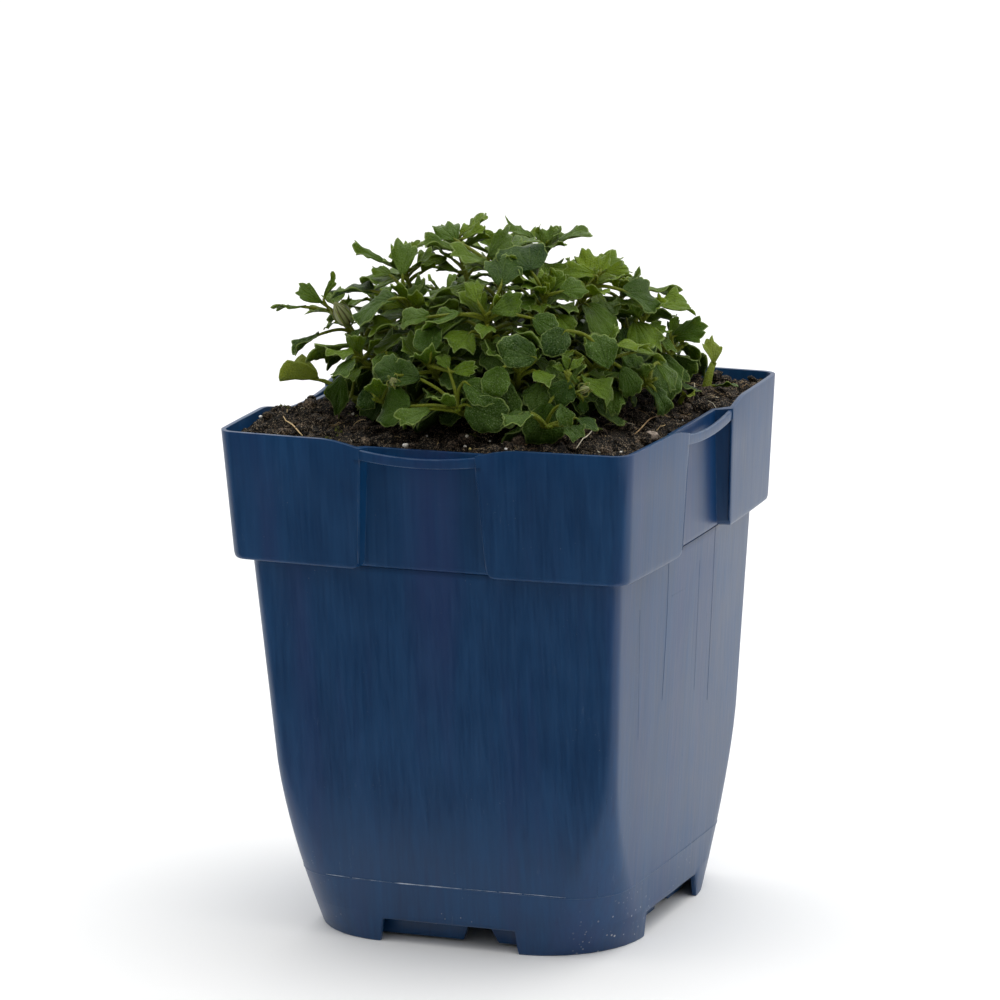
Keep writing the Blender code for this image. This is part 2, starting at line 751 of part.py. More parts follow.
def growPlant(crowd):
    # All stems come first, then the leaves from the tips down, so that the outer ones get their room.
    shoots = []
    for index, (place, count, largest) in enumerate(shootPlan):
        tip = Vector(place) * mm
        line = stemLine(tip)
        radii = [blend(stemFootRadius, stemTipRadius, max(t - 1, 0) / stemSpans) for t in range(len(line))]
        fat = tubeMesh(line, [r + leafClearance for r in radii], 6)
        crowd.add(fat, ("stem", index))
        fat.free()
        shoots.append(dict(tip=tip, line=line, radii=radii, leaves=[]))
    for name, foot, end, leaves in plantletPlan:
        crowd.add(plantletStem(foot, end, leafClearance), ("stem", name))
        for leaf in leaves:
            crowd.add(plantletLeaf(end, leaf, bladeThickness + 2 * leafClearance, bladeSpread), ("blade", name))
    for bud in budPlan:
        crowd.add(budStalk(shoots[bud[1]]["tip"], bud, leafClearance), ("bud", bud[0]))
        crowd.add(budMesh(shoots[bud[1]]["tip"], bud, leafClearance), ("bud", bud[0]))
    draws = [random.Random(4100 + index) for index in range(len(shootPlan))]
    for rank in range(max(count for place, count, largest in shootPlan)):
        for index, (place, count, largest) in enumerate(shootPlan):
            k = count - 1 - rank
            if k < 0:
                continue
            leaf = growLeaf(index, k, count, shoots[index]["tip"], largest, draws[index], crowd)
            if leaf:
                shoots[index]["leaves"].append(leaf)
    return shoots


def makeShoot(index, shoot, parts, pieces):
    name = "shoot_%02d" % (index + 1)
    stem = objectFromBmesh(name, tubeMesh(shoot["line"], shoot["radii"], 5), parts)
    for leaf in shoot["leaves"]:
        stalk = [leaf["points"][0]]
        blade = leafMesh(leaf["width"], leaf["teeth"], leaf["cup"], leaf["fold"], leaf["frame"],
                         bladeThickness, stalk=stalk)
        objectFromBmesh("leaf", blade, pieces)
    for bud in budPlan:
        if bud[1] == index:
            objectFromBmesh("stalk", budStalk(shoot["tip"], bud), pieces)
    applyBoolean(stem, pieces, 'UNION', leafSolver)
    dropFlatEdges(stem.data)
    return stem


def plantletStem(foot, end, fat=0.0):
    start = Vector((foot[0] * mm, foot[1] * mm, soilLevel - stemSunk))
    bend = start + Vector((0.0, 0.0, stemUpright - 0.8 * mm))
    finish = Vector(end) * mm
    middle = bend.lerp(finish, 0.5) + Vector((0.0, 0.0, 0.12 * (finish - bend).length))
    radii = [0.9 * mm, 0.9 * mm, 0.75 * mm, 0.6 * mm]
    return tubeMesh([start, bend, middle, finish], [radius + fat for radius in radii], 5)


def plantletLeaf(end, leaf, thickness=bladeThickness, grow=1.0):
    turn, pitch, roll, width, fold = leaf
    azimuth = math.radians(turn)
    outward = Vector((math.cos(azimuth), math.sin(azimuth), 0.0))
    base = Vector(end) * mm + outward * 1.3 * mm + Vector((0.0, 0.0, 0.2 * mm))
    frame = leafFrame(base, azimuth, math.radians(pitch), math.radians(roll))
    stalk = [Vector(end) * mm - outward * 0.1 * mm] if grow == 1.0 else None
    return leafMesh(width * mm, 5, -0.1, fold, frame, thickness, grow, stalk)


def makePlantlet(name, foot, end, leaves, parts, pieces):
    stem = objectFromBmesh(name, plantletStem(foot, end), parts)
    for leaf in leaves:
        objectFromBmesh("leaf", plantletLeaf(end, leaf), pieces)
    applyBoolean(stem, pieces, 'UNION', leafSolver)
    return stem


def budStalk(stemTip, bud, fat=0.0):
    # The stalk grows out of the shoot's stem and ends just under the bud.
    name, index, share, tip, length, radius = bud
    tip = Vector(tip) * mm
    root = stemPoint(stemTip, share)
    along = (tip - root).normalized()
    end = tip - along * (length * mm + budGap)
    return tubeMesh([root, end], [petioleHalf + fat] * 2, 5)


def budMesh(stemTip, bud, fat=0.0):
    name, index, share, tip, length, radius = bud
    tip = Vector(tip) * mm
    along = (tip - stemPoint(stemTip, share)).normalized()
    points = [tip - along * length * mm * (1.0 - place) for place, width in budShape]
    return tubeMesh(points, [radius * mm * width + fat for place, width in budShape], 6)


def main():
    clearScene()
    parts = makeCollection("potted_bellflower")
    cutters = makeCollection("cutters")
    pieces = makeCollection("pieces_to_join")
    navy = makeMaterial("pot_plastic", (0.012, 0.035, 0.095), 0.42)
    peat = makeMaterial("peat_soil", (0.020, 0.014, 0.010), 0.95)
    green = makeMaterial("leaf_green", (0.035, 0.105, 0.022), 0.45)
    pale = makeMaterial("young_green", (0.16, 0.26, 0.04), 0.45)
    budGreen = makeMaterial("bud_green", (0.14, 0.22, 0.05), 0.45)
    pot = makePot(parts, pieces, cutters)
    paint(pot, navy)
    crowd = Crowd()
    shoots = growPlant(crowd)
    feet = [shoot["line"][0] for shoot in shoots]
    feet += [Vector((*foot, 0.0)) * mm for name, foot, end, leaves in plantletPlan]
    soil = makeSoil(parts, cutters, feet)
    paint(soil, peat)
    for index, shoot in enumerate(shoots):
        paint(makeShoot(index, shoot, parts, pieces), green)
    for name, foot, end, leaves in plantletPlan:
        paint(makePlantlet(name, foot, end, leaves, parts, pieces), pale)
    for bud in budPlan:
        paint(objectFromBmesh(bud[0], budMesh(shoots[bud[1]]["tip"], bud), parts), budGreen)
    for item in parts.objects:
        count = sum(len(p.vertices) - 2 for p in item.data.polygons)
        print(item.name, count, "triangles")
    print("leaves", sum(len(s["leaves"]) for s in shoots))


main()
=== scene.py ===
import random
from math import acos, atan2, copysign, cos, exp, hypot, pi, radians, sin, sqrt

import bmesh
import bpy
import numpy as np
from mathutils import Matrix, Vector, noise
from mathutils.bvhtree import BVHTree


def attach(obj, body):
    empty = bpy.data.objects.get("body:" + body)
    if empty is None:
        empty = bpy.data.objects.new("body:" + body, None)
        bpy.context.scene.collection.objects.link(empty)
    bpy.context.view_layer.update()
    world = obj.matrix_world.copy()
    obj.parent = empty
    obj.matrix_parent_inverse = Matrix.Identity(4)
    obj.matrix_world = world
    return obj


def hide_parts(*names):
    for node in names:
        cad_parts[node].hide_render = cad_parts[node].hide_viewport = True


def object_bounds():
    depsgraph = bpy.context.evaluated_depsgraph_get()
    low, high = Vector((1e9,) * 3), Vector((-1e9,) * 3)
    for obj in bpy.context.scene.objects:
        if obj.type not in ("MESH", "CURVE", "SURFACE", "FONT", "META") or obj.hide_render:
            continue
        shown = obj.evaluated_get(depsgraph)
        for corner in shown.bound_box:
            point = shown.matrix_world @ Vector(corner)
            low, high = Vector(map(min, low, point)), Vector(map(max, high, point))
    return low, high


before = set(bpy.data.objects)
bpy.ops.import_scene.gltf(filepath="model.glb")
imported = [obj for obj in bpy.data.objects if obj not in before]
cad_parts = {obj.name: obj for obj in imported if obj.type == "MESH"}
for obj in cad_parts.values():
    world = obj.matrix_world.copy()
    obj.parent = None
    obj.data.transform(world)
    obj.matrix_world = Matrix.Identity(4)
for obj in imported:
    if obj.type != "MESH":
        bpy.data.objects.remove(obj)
cadLow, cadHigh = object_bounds()
mm = 0.001
body = "root"
bpy.ops.object.select_all(action='DESELECT')


def blend(a, b, share):
    return a + (b - a) * share


def upBy(z):
    return Vector((0.0, 0.0, z))


def wayAt(angle):
    return Vector((cos(angle), sin(angle), 0.0))


def drawing(draw, form):
    # Draws within the named ranges of a form.
    return lambda key: draw.uniform(*form[key])


# Camera, floor and light

view = dict(azimuth=22.549, elevation=12.657, roll=-1.233, distance=1.6174, focal=5822.28, middle=500.0,
            aside=-0.00146, height=0.11602, sensor=36.0)


def viewAxes():
    a, e, r = (radians(view[key]) for key in ("azimuth", "elevation", "roll"))
    back = Vector((sin(a) * cos(e), -cos(a) * cos(e), sin(e)))
    level = wayAt(a)
    up = back.cross(level)
    place = level * view["aside"] + upBy(view["height"]) + back * view["distance"]
    return level * cos(r) + up * sin(r), up * cos(r) - level * sin(r), back, place


toRight, toTop, toEye, eye = viewAxes()


def makeCamera():
    data = bpy.data.cameras.new("camera")
    data.sensor_width = view["sensor"]
    data.lens = view["focal"] * view["sensor"] / (2 * view["middle"])
    data.clip_start, data.clip_end = 0.05, 50.0
    camera = bpy.data.objects.new("camera", data)
    camera.matrix_world = Matrix((toRight, toTop, toEye)).transposed().to_4x4()
    camera.location = eye
    bpy.context.scene.collection.objects.link(camera)
    bpy.context.scene.camera = camera


def rayAt(pixelX, pixelY):
    across, down = (pixelX - view["middle"]) / view["focal"], (view["middle"] - pixelY) / view["focal"]
    return toRight * across + toTop * down - toEye


def seenAt(pixelX, pixelY, z):
    # The point at height z that the camera sees at a place in the picture.
    ray = rayAt(pixelX, pixelY)
    return eye + ray * ((z - eye.z) / ray.z)


def shownAt(point):
    # Where the camera sees a point, in pixels, and how far in front of the camera it is.
    away = point - eye
    depth = -away.dot(toEye)
    return (view["middle"] + view["focal"] * away.dot(toRight) / depth,
            view["middle"] - view["focal"] * away.dot(toTop) / depth, depth)


def reckoning(operation, isReflected=False):
    def method(self, *others):
        values = others + (self,) if isReflected else (self,) + others
        return self.finish.node('ShaderNodeMath', dict(operation=operation), values)
    return method


class Wire:
    # A node's output. Arithmetic on it adds Math nodes.
    __add__, __radd__ = reckoning('ADD'), reckoning('ADD', True)
    __sub__, __rsub__ = reckoning('SUBTRACT'), reckoning('SUBTRACT', True)
    __mul__, __rmul__ = reckoning('MULTIPLY'), reckoning('MULTIPLY', True)
    __pow__ = reckoning('POWER')
    size, loose = reckoning('ABSOLUTE'), reckoning('FRACT')
    most, least = reckoning('MAXIMUM'), reckoning('MINIMUM')

    def __init__(self, finish, socket):
        self.finish, self.socket = finish, socket


class Finish:
    # The nodes around one shader, in a new material or in the world that is passed in.

    def __init__(self, name, owner=None, shader="Principled BSDF", **fixed):
        self.material = owner or bpy.data.materials.new(name)
        self.material.use_nodes = True
        self.tree = self.material.node_tree
        self.shader = self.tree.nodes[shader]
        self.set(**fixed)

    def feed(self, socket, value):
        if isinstance(value, Wire):
            self.tree.links.new(value.socket, socket)
        elif value is not None:
            if socket.type == 'RGBA' and len(value) == 3:
                value = (*value, 1.0)
            socket.default_value = value

    def node(self, kind, settings=None, values=(), output=0):
        made = self.tree.nodes.new(kind)
        for key, value in (settings or {}).items():
            setattr(made, key, value)
        for key, value in values.items() if isinstance(values, dict) else enumerate(values):
            self.feed(made.inputs[key], value)
        return Wire(self, made.outputs[output])

    def set(self, **values):
        for key, value in values.items():
            self.feed(self.shader.inputs[key.replace("_", " ")], value)

    def place(self):
        return self.node('ShaderNodeTexCoord', output='Object')

    def stretched(self, scale, turn=(0.0, 0.0, 0.0)):
        return self.node('ShaderNodeMapping', values=dict(Vector=self.place(), Scale=scale, Rotation=turn))

    def grain(self, vector, scale, detail=3.0, roughness=0.55, distortion=0.0):
        return self.node('ShaderNodeTexNoise', values=dict(
            Vector=vector, Scale=scale, Detail=detail, Roughness=roughness, Distortion=distortion))

    def cells(self, vector, scale, feature='F1'):
        return self.node('ShaderNodeTexVoronoi', dict(feature=feature), dict(Vector=vector, Scale=scale))

    def between(self, value, low, high, first=0.0, last=1.0):
        return self.node('ShaderNodeMapRange', dict(clamp=True), {
            'Value': value, 'From Min': low, 'From Max': high, 'To Min': first, 'To Max': last})

    def mix(self, factor, first, second):
        return self.node('ShaderNodeMix', dict(data_type='RGBA'), {0: factor, 6: first, 7: second}, output=2)

    def over(self, colour, *layers):
        # Colours laid over one another, each with its share.
        for share, tone in layers:
            colour = self.mix(share, colour, tone)
        return colour

    def bump(self, height, strength, distance, normal=None):
        return self.node('ShaderNodeBump', values=dict(
            Height=height, Strength=strength, Distance=distance, Normal=normal))

    def split(self, vector, axis):
        return self.node('ShaderNodeSeparateXYZ', values=[vector], output=axis)

    def tones(self):
        # How young a point is, a number of its own for each leaf or grain, and what it belongs to.
        tone = self.node('ShaderNodeAttribute', dict(attribute_name="tone"), output='Color')
        return [self.split(tone, axis) for axis in 'XYZ']


light = dict(above=1.75, level=0.88, front=0.36, seen=1.02, floorSize=9.0, keyPower=5.6, keySize=1.4,
             keyPlace=(0.35, 0.30, 1.5), keyAim=0.1, cardStart=-0.112, cardEnd=-2.0, cardLeft=-2.6, cardRight=1.1,
             cardLow=0.0015, cardTop=1.3)


def makeLight():
    # White all round as in a light tent, brighter from above and darker on the camera's side.
    world = bpy.data.worlds.new("tent")
    sky = Finish("tent", world, "Background", Color=(1.0, 1.0, 1.0))
    bpy.context.scene.world = world
    way = sky.node('ShaderNodeTexCoord', output='Generated')
    high = sky.between(sky.split(way, 'Z'), 0.1, 0.9, light["level"], light["above"])
    near = sky.between(sky.split(way, 'Y'), -0.75, 0.15, light["front"], 1.0)
    isSeen = sky.node('ShaderNodeLightPath', output='Is Camera Ray')
    sky.set(Strength=sky.node('ShaderNodeMix', values={0: isSeen, 2: high * near, 3: light["seen"]}))
    lamp = bpy.data.lights.new("soft_key", 'AREA')
    lamp.shape = 'DISK'
    lamp.size = light["keySize"]
    lamp.energy = light["keyPower"]
    key = bpy.data.objects.new("soft_key", lamp)
    key.location = light["keyPlace"]
    key.rotation_euler = (upBy(light["keyAim"]) - Vector(light["keyPlace"])).to_track_quat('-Z', 'Y').to_euler()
    bpy.context.scene.collection.objects.link(key)
    bpy.context.scene.view_settings.view_transform = 'Standard'


def makeFloor():
    bpy.ops.mesh.primitive_plane_add(size=light["floorSize"], location=(0.0, 0.0, 0.0))
    floor = bpy.context.object
    floor.name = "floor"
    finish = Finish("white_floor", Roughness=0.9, Specular_IOR_Level=0.1)
    finish.set(Base_Color=finish.mix(finish.grain(finish.place(), 3.0), (0.90, 0.905, 0.90), (0.91, 0.91, 0.905)))
    floor.data.materials.append(finish.material)
    # A black card, folded up from the floor on the camera's side, which only gloss sees.
    bpy.ops.mesh.primitive_plane_add(size=1.0, location=(0.0, 0.0, 0.0))
    card = bpy.context.object
    card.name = "black_card"
    bpy.ops.object.mode_set(mode='EDIT')
    bpy.ops.mesh.select_mode(type='EDGE')
    bpy.ops.mesh.select_all(action='DESELECT')
    bm = bmesh.from_edit_mesh(card.data)
    for vert in bm.verts:
        vert.co = (light["cardLeft"] if vert.co.x < 0 else light["cardRight"],
                   light["cardEnd"] if vert.co.y < 0 else light["cardStart"], light["cardLow"])
    for edge in bm.edges:
        edge.select = all(abs(vert.co.y - light["cardEnd"]) < mm for vert in edge.verts)
    bmesh.update_edit_mesh(card.data)
    bpy.ops.mesh.extrude_region_move(TRANSFORM_OT_translate=dict(value=(0.0, 0.0, light["cardTop"])))
    bpy.ops.mesh.select_mode(type='VERT')
    bpy.ops.object.mode_set(mode='OBJECT')
    dull = Finish("black_card", Roughness=1.0, Specular_IOR_Level=0.0, Base_Color=(0.004, 0.004, 0.004))
    card.data.materials.append(dull.material)
    card.visible_camera = card.visible_diffuse = card.visible_shadow = card.visible_transmission = False


makeCamera()
makeLight()
makeFloor()
print("camera, light and floor are there")


# Modelling helpers

def active(item):
    bpy.ops.object.select_all(action='DESELECT')
    item.select_set(True)
    bpy.context.view_layer.objects.active = item


def smooth(item, degrees=None):
    active(item)
    if degrees:
        bpy.ops.object.shade_smooth_by_angle(angle=radians(degrees))
    else:
        bpy.ops.object.shade_smooth()


def applyModifier(item, kind, **settings):
    active(item)
    modifier = item.modifiers.new("shape", kind)
    for key, value in settings.items():
        setattr(modifier, key, value)
    bpy.ops.object.modifier_apply(modifier="shape")


def joinPieces(name, items):
    active(items[0])
    for item in items:
        item.select_set(True)
    if len(items) > 1:
        bpy.ops.object.join()
    items[0].name = items[0].data.name = name
    return items[0]


def drop(*items):
    for item in items:
        bpy.data.objects.remove(item, do_unlink=True)


def copyOf(master, matrix=None):
    item = master.copy()
    item.data = master.data.copy()
    item.hide_render = False
    if matrix is not None:
        item.data.transform(matrix)
    bpy.context.scene.collection.objects.link(item)
    return item


def pointsOf(item):
    co = np.empty(len(item.data.vertices) * 3, np.float32)
    item.data.vertices.foreach_get("co", co)
    return co.reshape(-1, 3)


def setPoints(item, rows):
    item.data.vertices.foreach_set("co", rows.astype(np.float32).ravel())


def loft(name, rings, ends='CAP'):
    # One closed outline extruded from place to place. The ends are capped, left open, or the last meets the first.
    if ends == 'RING':
        rings = rings + [rings[0]]
    bpy.ops.mesh.primitive_circle_add(vertices=len(rings[0]), radius=1.0, fill_type='NOTHING')
    item = bpy.context.object
    item.name = item.data.name = name
    bpy.ops.object.mode_set(mode='EDIT')
    bpy.ops.mesh.select_all(action='SELECT')
    bm = bmesh.from_edit_mesh(item.data)
    order = bm.verts.layers.int.new("order")
    for index, vert in enumerate(bm.verts):
        vert[order] = index
        vert.co = rings[0][index]
    bmesh.update_edit_mesh(item.data)
    if ends == 'CAP':
        bpy.ops.mesh.edge_face_add()
        bpy.ops.mesh.select_all(action='SELECT')
        bpy.ops.mesh.select_mode(type='EDGE')
    for ring in rings[1:]:
        bpy.ops.mesh.extrude_region_move()
        bm = bmesh.from_edit_mesh(item.data)
        order = bm.verts.layers.int["order"]
        for vert in bm.verts:
            if vert.select:
                vert.co = ring[vert[order]]
        bmesh.update_edit_mesh(item.data)
    bpy.ops.mesh.select_mode(type='VERT')
    bpy.ops.mesh.select_all(action='SELECT')
    bpy.ops.mesh.remove_doubles(threshold=0.002 * mm)
    bpy.ops.mesh.normals_make_consistent(inside=False)
    bpy.ops.object.mode_set(mode='OBJECT')
    item.data.attributes.remove(item.data.attributes["order"])
    active(item)
    return item


def paint(item, *finishes):
    item.data.materials.clear()
    for finish in finishes:
        item.data.materials.append(finish.material)


def dress(item, slot, *nodes):
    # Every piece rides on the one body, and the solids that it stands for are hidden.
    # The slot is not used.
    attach(item, body)
    if nodes:
        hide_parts(*nodes)


def setTone(item, age, chance, kind):
    attributes = item.data.attributes
    layer = attributes.get("tone") or attributes.new("tone", 'FLOAT_COLOR', 'POINT')
    layer.data.foreach_set("color", np.tile(np.float32((age, chance, kind, 1.0)), len(item.data.vertices)))


def tubeRings(points, radii, sides):
    rings = []
    across = Vector((1.0, 0.0, 0.0))
    turns = [2 * pi * step / sides for step in range(sides)]
    for index, point in enumerate(points):
        along = (points[min(index + 1, len(points) - 1)] - points[max(index - 1, 0)]).normalized()
        across = (across - along * across.dot(along)).normalized()
        side = along.cross(across)
        rings.append([point + (across * cos(turn) + side * sin(turn)) * radii[index] for turn in turns])
    return rings


tubes = {}


def fineTube(points, radii, sides, age, chance, kind):
    # A copy of a tube that was modelled once for its number of sides and rings.
    key = (sides, len(points))
    if key not in tubes:
        turns = [2 * pi * step / sides for step in range(sides)]
        master = loft("tube_master", [[Vector((cos(turn), sin(turn), float(row))) for turn in turns]
                                      for row in range(len(points))])
        smooth(master)
        master.hide_render = True
        tubes[key] = master, pointsOf(master)
    master, co = tubes[key]
    rings = np.array([[tuple(p) for p in ring] for ring in tubeRings(points, radii, sides)])
    side = np.rint(np.arctan2(co[:, 1], co[:, 0]) / (2 * pi) * sides).astype(int) % sides
    item = copyOf(master)
    setPoints(item, rings[np.rint(co[:, 2]).astype(int), side])
    setTone(item, age, chance, kind)
    return item


def rounded(points, values):
    # Corners cut off twice, so that a line bends smoothly.
    for time in range(2):
        newPoints, newValues = [points[0]], [values[0]]
        for index in range(len(points) - 1):
            for share in (0.25, 0.75):
                newPoints.append(points[index].lerp(points[index + 1], share))
                newValues.append(blend(values[index], values[index + 1], share))
        points, values = newPoints + [points[-1]], newValues + [values[-1]]
    return points, values


# The pot

pot = dict(height=144.2 * mm, rimHalf=60.0 * mm, bandBottom=108.3 * mm, bandBevel=1.7 * mm,
           bandFootHalf=57.9 * mm, bodyTopHalf=54.05 * mm, bodyFootHalf=47.2 * mm, faceBow=1.7 * mm, wall=1.3 * mm,
           rimCorner=5.2 * mm, bodyCorner=4.5 * mm, footCorner=27.0 * mm, flareHeight=50.0 * mm, cornerSteps=8,
           levels=(106.0, 96.0, 86.0, 76.0, 66.0, 57.0, 49.5, 44.0, 38.5, 33.5, 29.0, 25.0, 21.5, 18.2),
           rimFlat=28.0 * mm, recessTop=17.0 * mm, recessFoot=19.0 * mm, recessReturn=0.6 * mm,
           sectionRound=2.2 * mm, panelHeight=141.7 * mm, panelTopDepth=5.0 * mm, panelFootDepth=3.7 * mm,
           dipHeight=142.2 * mm, seamHeight=17.5 * mm, seamOut=0.16 * mm, seamHalf=0.12 * mm,
           edgeRound=0.32 * mm, cornerRoom=6 * mm, recessReach=22.5 * mm, bandShares=(0.66, 0.33),
           lipTurns=(0.0, 0.3, 0.6, 0.85, 1.0), lipBack=0.5 * mm)

strap = dict(half=18.1 * mm, thickness=1.2 * mm, sink=0.15 * mm, endTop=142.0 * mm, middleTop=140.4 * mm,
             endFoot=139.1 * mm, middleFoot=137.7 * mm, steps=16)

foot = dict(floorUnder=7.3 * mm, floorThick=1.3 * mm, notchHeight=6.5 * mm, notchTop=19.6 * mm,
            notchFoot=20.6 * mm, ribInset=5.6 * mm, ribFoot=1.0 * mm, ribThick=1.3 * mm, gapMiddle=6.5 * mm,
            gapHalf=2.4 * mm, gapEdge=0.1 * mm, ribOver=0.4 * mm, plateInset=0.65 * mm, drainRadius=4.5 * mm,
            drainReach=27.0 * mm, drainDepth=6 * mm, drainSides=28, farthest=26.0)
foot["floorTop"] = foot["floorUnder"] + foot["floorThick"]


def quarterTurn(quarter):
    return Matrix.Rotation(quarter * pi / 2, 3, 'Z')


def cornerRadiusAt(z):
    if z >= pot["bandBottom"]:
        share = (z - pot["bandBottom"]) / (pot["height"] - pot["bandBottom"])
        return blend(pot["bodyCorner"], pot["rimCorner"], share)
    share = max(0.0, 1.0 - max(z, 0.0) / pot["flareHeight"])
    return pot["bodyCorner"] + (pot["footCorner"] - pot["bodyCorner"]) * share ** 1.6


def bandHalfAt(z):
    return blend(pot["bandFootHalf"], pot["rimHalf"], (z - pot["bandBottom"]) / (pot["height"] - pot["bandBottom"]))


def bodyHalfAt(z):
    return blend(pot["bodyFootHalf"], pot["bodyTopHalf"], z / pot["bandBottom"])


def bowAt(along, reach, z):
    share = max(0.0, min(1.0, z / pot["bandBottom"]))
    return pot["faceBow"] * share * max(0.0, 1.0 - (along / reach) ** 2)


def recessHalfAt(z):
    low = pot["bandBottom"] + pot["bandBevel"]
    return blend(pot["recessFoot"], pot["recessTop"], max(0.0, (z - low) / (pot["panelHeight"] - low)))


def rimHeightAt(along):
    share = (pot["rimFlat"] - abs(along)) / (pot["rimFlat"] - pot["recessTop"])
    return pot["height"] - (pot["height"] - pot["dipHeight"]) * max(0.0, min(1.0, share)) ** 1.5


def bothWays(row, middle):
    # A row of points from one end to the middle of a side, and on to its other end.
    return [(-along, value) for along, value in row] + [(0.0, middle)] + row[::-1]


def sideStations(z, isBand, edgeExtra, cornerStart):
    # Points along one side: distance from its middle, and how deep each lies behind the face.
    recess = (recessHalfAt(z) if isBand else pot["recessFoot"]) + edgeExtra
    depth = 0.0
    if isBand:
        share = (z - pot["bandBottom"]) / (pot["panelHeight"] - pot["bandBottom"])
        depth = blend(pot["panelFootDepth"], pot["panelTopDepth"], share)
    flat = pot["rimFlat"]
    row = [(blend(flat, cornerStart, 0.85), 0.0), (blend(flat, cornerStart, 0.45), 0.0), (flat, 0.0)]
    row += [(blend(recess, flat, share), 0.0) for share in (0.82, 0.64, 0.46, 0.28, 0.12)]
    row += [(recess, 0.0), (recess - pot["recessReturn"], depth)]
    return bothWays(row + [(recess * share, depth) for share in (0.75, 0.5, 0.25)], depth)


def potRing(z, isBand, inset=0.0, half=None, edgeExtra=0.0, followRim=False):
    # One outline of the pot, pulled in by inset. followRim lets its height follow the dipping rim.
    half = (half or (bandHalfAt(z) if isBand else bodyHalfAt(z))) - inset
    radius = max(cornerRadiusAt(z) - inset, 1.0 * mm)
    middle = half - radius
    ring = []
    for quarter in range(4):
        turn = quarterTurn(quarter)
        for along, deep in sideStations(z, isBand, edgeExtra, max(middle, pot["rimFlat"] - pot["cornerRoom"])):
            along = max(-middle, min(middle, along))
            if isBand and 0.0 < abs(along) < pot["recessReach"]:
                along += copysign(inset, along)
            height = z
            if followRim:
                height = pot["panelHeight"] if deep > 0.0 else rimHeightAt(along)
            ring.append(turn @ Vector((along, -(half - deep + bowAt(along, middle, z)), height)))
        ring += cornerPoints(turn, middle, radius, -pi / 2, 0.0, range(pot["cornerSteps"] + 1), z)
    return ring


def cornerPoints(turn, middle, radius, first, last, steps, z):
    # Points of a rounded corner at some of its steps.
    angles = [blend(first, last, step / pot["cornerSteps"]) for step in steps]
    return [turn @ Vector((middle + radius * cos(angle), -middle + radius * sin(angle), z)) for angle in angles]


def atHeight(ring, z):
    return [Vector((point.x, point.y, z)) for point in ring]


def footStations():
    # Distances from the middle of a side at which the foot's outline has its points, and how high it is there.
    row = [(foot["farthest"], 0.0), (23.0, 0.0), (foot["notchFoot"] / mm, 0.0)]
    row += [(along, foot["notchHeight"] / mm) for along in (foot["notchTop"] / mm, 16.0, 12.5, 8.9, 4.1, 2.0)]
    return bothWays([(along * mm, z * mm) for along, z in row], foot["notchHeight"])


def footRing(level, inset=0.0, notched=False, gapped=False):
    # An outline near the foot. Notched lets its height follow the notches, and gapped the gap in the rib.
    half = bodyHalfAt(level) - inset
    radius = max(cornerRadiusAt(level) - inset, 1.0 * mm)
    middle = half - radius
    ring = []
    for quarter in range(4):
        turn = quarterTurn(quarter)
        for along, z in footStations():
            height = z if notched else level
            if gapped and abs(along - foot["gapMiddle"]) < foot["gapHalf"] + foot["gapEdge"]:
                height = foot["floorUnder"]
            beyond = max(0.0, abs(along) - middle)
            outside = half + bowAt(min(abs(along), middle), middle, level)
            if beyond > 0.0:    # round the large corner
                outside = middle + sqrt(max(radius ** 2 - beyond ** 2, 0.0))
            ring.append(turn @ Vector((along, -outside, height)))
        first = -acos(min(1.0, max(0.0, foot["farthest"] * mm - middle) / radius))
        ring += cornerPoints(turn, middle, radius, first, -pi / 2 - first, range(1, pot["cornerSteps"]), level)
    return ring


def makePotShell():
    outside = [potRing(pot["height"], True, followRim=True)]
    lip = pot["bandBottom"] + pot["bandBevel"]
    outside += [potRing(blend(lip, pot["panelHeight"], share), True) for share in pot["bandShares"]]
    for turn in pot["lipTurns"]:
        angle = turn * pi / 2
        z = lip - pot["bandBevel"] * sin(angle)
        back = 1.0 - cos(angle)
        outside.append(potRing(z, True, half=bandHalfAt(z) - pot["lipBack"] * back,
                               edgeExtra=pot["sectionRound"] * back))
    outside.append(potRing(pot["bandBottom"], False, edgeExtra=pot["sectionRound"]))
    outside += [potRing(z * mm, False) for z in pot["levels"]]
    wall = pot["wall"]
    seam = pot["seamHeight"]
    outside += [potRing(seam + pot["seamHalf"], False), potRing(seam, False, inset=-pot["seamOut"]),
                potRing(seam - pot["seamHalf"], False), potRing(foot["floorTop"], False)]
    inside = [potRing(foot["floorTop"], False, inset=wall)]
    inside += [potRing(z * mm, False, inset=wall) for z in pot["levels"][::-1]]
    ledge = pot["bandBottom"] + wall
    inside += [atHeight(potRing(pot["bandBottom"], False, inset=wall, edgeExtra=wall), ledge),
               atHeight(potRing(lip, True, inset=wall), ledge + 0.1 * mm),
               potRing(pot["height"], True, inset=wall, followRim=True)]
    return loft("pot_shell", inside + outside, ends='OPEN')


def makeSkirt():
    # The foot under the floor: its outside down to the notched edge, and its inside back up.
    top, under, wall = foot["floorTop"], foot["floorUnder"], pot["wall"]
    outer = [footRing(top), footRing(under), footRing(0.0, notched=True)]
    inner = [footRing(0.0, inset=wall, notched=True), footRing(under, inset=wall), footRing(top, inset=wall)]
    return loft("skirt", outer + inner, ends='OPEN')


def makeRib():
    outer, inner = (footRing(foot["ribFoot"], inset=inset, gapped=True)
                    for inset in (foot["ribInset"], foot["ribInset"] + foot["ribThick"]))
    top = foot["floorUnder"] + foot["ribOver"]
    return loft("rib", [atHeight(outer, top), outer, inner, atHeight(inner, top)], ends='RING')


